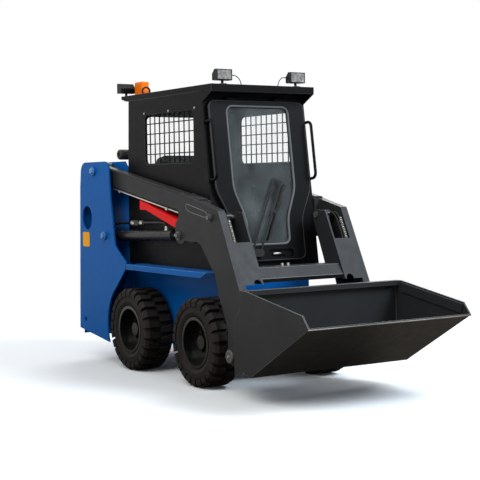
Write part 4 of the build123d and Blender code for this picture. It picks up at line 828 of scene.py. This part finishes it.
# Cables of the front lamps. Thin leads in black rubber. Each leaves the housing's inner side, arches over
# and goes into the roof.
CABLE_R = 0.003
CABLE_ROUTE = ((0.878, 0.2305, 0.058), (0.880, 0.214, 0.062), (0.884, 0.186, 0.062), (0.888, 0.160, 0.042),
               (0.890, 0.148, 0.018), (0.890, 0.144, -0.002))
for hand, side in (("left", 1), ("right", -1)):
    route = [spot(x, side * y, roof_top + z) for x, y, z in CABLE_ROUTE]
    cable = round_curve(f"lamp_cable_{hand}", route, CABLE_R, sides=3, steps=12)
    fix_on(cable, f"lamp_cable_{hand}", rubber_hose, "chassis")

# Beacon and marker lamp. A moulded amber box on the cab's roof, and before it a round amber lens
# in a rubber ring, with a shell behind it and a bracket down to the roof.
AMBER = (0.90, 0.18, 0.004)
AMBER_DEPTH = 0.15
AMBER_REACH = (0.03, 0.008, 0.002)
MARKER_AT = (-0.178, -0.278, 0.034)
MARKER_FACES = Vector((0.8, -0.6, 0))
MARKER_R = 0.026
RING_R = 0.0075
SHELL_R = MARKER_R * 0.95
SHELL_DEPTH = 0.030
SHELL_STEP = 0.006
BRACKET_SIZE = (0.026, 0.016, 0.014)
BRACKET_AT = (0, -0.028, -0.022)
BRACKET_FLARE = (1.5, 1, 1.5)
BULB_R = MARKER_R * 0.9
BULB_CROWN = 0.35
amber = enamel("amber_lens", AMBER, roughness=0.25, specular=0.15, dust=0.0, mottle=0.12, grain=0.0)
amber.node_tree.nodes["Principled BSDF"].inputs["Subsurface Weight"].default_value = AMBER_DEPTH
amber.node_tree.nodes["Principled BSDF"].inputs["Subsurface Radius"].default_value = AMBER_REACH
dress(amber, "beacon")
bpy.ops.object.select_all(action="DESELECT")
bpy.ops.mesh.primitive_torus_add(major_radius=MARKER_R, minor_radius=RING_R, major_segments=36,
                                 minor_segments=12)
ring = bpy.context.object
bpy.ops.mesh.primitive_cylinder_add(vertices=36, radius=SHELL_R, depth=SHELL_DEPTH,
                                    location=(0, 0, -SHELL_DEPTH / 2))
shell = bpy.context.object
pick(shell, lambda centre, normal: normal.z < -FACING)
bpy.ops.mesh.inset(thickness=SHELL_STEP)
bpy.ops.transform.translate(value=(0, 0, -SHELL_STEP))
bpy.ops.object.mode_set(mode="OBJECT")
bracket = block(BRACKET_SIZE, BRACKET_AT)
pick(bracket, lambda centre, normal: normal.y < -FACING)
bpy.ops.transform.resize(value=BRACKET_FLARE)
bpy.ops.object.mode_set(mode="OBJECT")
marker = join([ring, shell, bracket])
bpy.ops.mesh.primitive_uv_sphere_add(segments=32, ring_count=16, radius=BULB_R)
bulb = bpy.context.object
bulb.scale = (1, 1, BULB_CROWN)
bake_place()
upright = Vector((0, 0, 1))
face_right = Matrix((upright.cross(MARKER_FACES), upright, MARKER_FACES)).transposed().to_4x4()
x, y, z = MARKER_AT
for piece, name, finish, slot in ((marker, "marker_ring", rubber_hose, "black_plastic"),
                                  (bulb, "marker_lens", amber, "amber")):
    bpy.ops.object.select_all(action="DESELECT")
    bpy.context.view_layer.objects.active = piece
    piece.select_set(True)
    piece.matrix_world = Matrix.Translation(spot(x, y, roof_top + z)) @ face_right
    bake_place()
    bpy.ops.object.shade_smooth_by_angle(angle=SHARP)
    fix_on(piece, name, finish, "chassis")

# Seat. A moulded foam cushion and back under black vinyl with sewn channels and side bolsters,
# bolted to a box of folded steel with a pressed panel in each side.
SEAT_VINYL = (0.013, 0.013, 0.0135)
SEAT_BOX = (0.40, 0.40, 0.25)
SEAT_BOX_SETBACK = 0.285
PANEL_RIM = 0.03
PANEL_DEPTH = 0.008
SEAT_BOX_EDGE = 0.006
CUSHION = (0.48, 0.44, 0.10)
CUSHION_SETBACK = 0.006
BACK = (0.10, 0.42, 0.42)
BACK_FORWARD = 0.10
BACK_DROP = 0.012
BACK_LEAN = math.radians(-10)
CHANNELS = 5
CHANNEL_SEAM = 0.007
CHANNEL_RISE = 0.010
BOLSTER_RISE = 0.016
# As shares of a channel's step and of the pad's width.
CHANNEL_HALF = 0.55
CHANNEL_REACH = 0.33
BOLSTER_FROM = 0.36
seat_low, seat_high = (Vector(corner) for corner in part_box("seat"))


def soft_pad(size, up):
    """Crowned pad in its own frame. The padded face looks along axis number up and has sewn channels."""
    pad = block(size)
    bpy.ops.object.mode_set(mode="EDIT")
    bpy.ops.mesh.select_all(action="SELECT")
    bpy.ops.mesh.subdivide(number_cuts=CHANNELS + 1)
    long_axis = 0 if up == 2 else 2
    step = size[long_axis] / (CHANNELS + 2)
    lift = [0, 0, 0]
    lift[up] = CHANNEL_RISE
    for i in range(CHANNELS):
        middle = (i - (CHANNELS - 1) / 2) * step
        pick(pad, lambda centre, normal: normal[up] > FACING
             and abs(centre[long_axis] - middle) < step * CHANNEL_HALF
             and abs(centre.y) < size[1] * CHANNEL_REACH)
        bpy.ops.mesh.inset(thickness=CHANNEL_SEAM)
        bpy.ops.transform.translate(value=lift)
    pick(pad, lambda centre, normal: normal[up] > FACING and abs(centre.y) > size[1] * BOLSTER_FROM)
    lift[up] = BOLSTER_RISE
    bpy.ops.transform.translate(value=lift)
    bpy.ops.object.mode_set(mode="OBJECT")
    smooth = pad.modifiers.new("smooth", "SUBSURF")
    smooth.levels = smooth.render_levels = 2
    bpy.ops.object.modifier_apply(modifier="smooth")
    bpy.ops.object.shade_smooth_by_angle(angle=math.pi)
    return pad


seat_vinyl = enamel("seat_vinyl", SEAT_VINYL, roughness=0.48, specular=0.25,
                    dust=0.02, mottle=0.12, grain=0.08)
cushion = soft_pad(CUSHION, 2)
cushion.matrix_world = Matrix.Translation((seat_high.x - CUSHION[0] / 2 - CUSHION_SETBACK, 0,
                                           seat_low.z + SEAT_BOX[2] + CUSHION[2] / 2))
bake_place()
fix_on(cushion, "seat_cushion", seat_vinyl, "chassis")
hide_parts("seat")
back = soft_pad(BACK, 0)
back_at = Vector((seat_low.x + BACK_FORWARD, 0, seat_high.z - BACK[2] / 2 - BACK_DROP))
back.matrix_world = Matrix.Translation(back_at) @ Matrix.Rotation(BACK_LEAN, 4, "Y")
bake_place()
fix_on(back, "seat_back", seat_vinyl, "chassis")

seat_box = block(SEAT_BOX, (seat_high.x - SEAT_BOX_SETBACK, 0, seat_low.z + SEAT_BOX[2] / 2))
pick(seat_box, lambda centre, normal: abs(normal.x) > FACING or abs(normal.y) > FACING)
bpy.ops.mesh.inset(thickness=PANEL_RIM, use_individual=True)
bpy.ops.mesh.extrude_region_shrink_fatten(TRANSFORM_OT_shrink_fatten={"value": -PANEL_DEPTH})
bpy.ops.object.mode_set(mode="OBJECT")
ease_edges(seat_box, SEAT_BOX_EDGE, 3)
fix_on(seat_box, "seat_box", satin, "chassis")

# Engine and exhaust. A cast block below the hood, and a tail pipe whose heat-proof coat
# has gone as dull and dusty as the casting.
CAST_IRON = (0.035, 0.034, 0.033)
iron = enamel("cast_iron", CAST_IRON, roughness=0.6, specular=0.3, dust=0.2, mottle=0.3, grain=0.5)
dress(iron, "engine_block", "exhaust_pipe")

# Bucket's lip and cheek bars. The cutting lip is worn to bright steel along its front edge,
# and a flat bar stiffens the inside of each cheek below its top edge.
WORN_STEEL = (0.20, 0.185, 0.165)
WORN_METAL = 0.6
BUCKET_HALF = 0.600
LIP = (2.2385, 0.501)
LIP_R = 0.005
LIP_SHARES = (-1, -0.5, 0, 0.5, 1)
CHEEK_T = 0.010
CHEEK_TOP = (1.62, 0.665)
CHEEK_TIP = (2.178, 0.571)
CHEEK_BAR_H = 0.06
CHEEK_BAR_T = 0.012
CHEEK_BAR_DROP = 0.004
CHEEK_BAR_EDGE = 0.002
worn = enamel("worn_steel", WORN_STEEL, roughness=0.4, specular=0.4, dust=0.0, mottle=0.5, grain=0.1)
worn.node_tree.nodes["Principled BSDF"].inputs["Metallic"].default_value = WORN_METAL
lip = tube([spot(LIP[0], share * BUCKET_HALF, LIP[1]) for share in LIP_SHARES], LIP_R)
fix_on(lip, "bucket_lip", worn, "bucket")
run = Vector((CHEEK_TIP[0] - CHEEK_TOP[0], 0, CHEEK_TIP[1] - CHEEK_TOP[1]))
slope = Matrix.Rotation(math.atan2(-run.z, run.x), 4, "Y")
bars = []
for side in SIDES:
    bar = block((run.length, CHEEK_BAR_T, CHEEK_BAR_H))
    middle = spot((CHEEK_TOP[0] + CHEEK_TIP[0]) / 2, side * (BUCKET_HALF - CHEEK_T - CHEEK_BAR_T / 2),
                  (CHEEK_TOP[1] + CHEEK_TIP[1]) / 2 - CHEEK_BAR_H / 2 - CHEEK_BAR_DROP)
    bar.matrix_world = Matrix.Translation(middle) @ slope
    bake_place()
    ease_edges(bar, CHEEK_BAR_EDGE, 2)
    bars.append(bar)
fix_on(join(bars), "cheek_bars", charcoal, "bucket")

# Grease nipples in the heads of the bucket's pivot pins. Small plated hexagons,
# screwed in from outside.
PIVOT = (1.320, 0.245)
NIPPLE = (0.011, 0.009)
NIPPLE_SINK = 0.001
pivot_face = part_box("hitch_pins")[1][1]
nipples = set_out(hex_bolt(*NIPPLE), [(spot(PIVOT[0], side * (pivot_face - NIPPLE_SINK), PIVOT[1]),
                                       (0, side, 0)) for side in SIDES])
fix_on(nipples, "pivot_nipples", zinc, "bucket")

# Wheels. Lug tyres of brown-black rubber on deep pressed steel discs in black gloss,
# with a rubber valve and its cap in each rim.
TYRE_RUBBER = (0.0125, 0.0100, 0.0090)
RIM_BLACK = (0.005, 0.0047, 0.0045)
VALVE_FOOT_R = 0.007
VALVE_TIP_R = 0.0045
VALVE_LENGTH = 0.034
VALVE_CAP = 0.008
# Forward of the hub, outwards from the tyre's middle, and up.
VALVE_AT = (0.0672, 0.022, 0.0896)
rubber = enamel("tyre_rubber", TYRE_RUBBER, roughness=0.62, specular=0.14,
                dust=0.05, mottle=0.3, grain=0.12)
rim_paint = enamel("rim_paint", RIM_BLACK, roughness=0.22, specular=0.4, dust=0.02, mottle=0.12)
for end in ("front", "rear"):
    for hand, side in (("left", 1), ("right", -1)):
        body = f"wheel_{end}_{hand}"
        dress(rubber, f"tyre_{end}_{hand}")
        dress(rim_paint, body)
        low, high = (Vector(corner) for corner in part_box(f"tyre_{end}_{hand}"))
        bpy.ops.object.select_all(action="DESELECT")
        bpy.ops.mesh.primitive_cone_add(vertices=16, radius1=VALVE_FOOT_R, radius2=VALVE_TIP_R,
                                        depth=VALVE_LENGTH)
        valve = bpy.context.object
        pick(valve, lambda centre, normal: normal.z > FACING)
        bpy.ops.mesh.extrude_region_move(TRANSFORM_OT_translate={"value": (0, 0, VALVE_CAP)})
        bpy.ops.object.mode_set(mode="OBJECT")
        forward, outward, up = VALVE_AT
        stem = set_out(valve, [((low + high) / 2 + Vector((forward, side * outward, up)), (0, side, 0))])
        fix_on(stem, f"valve_{end}_{hand}", rubber_hose, body)

low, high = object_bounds()
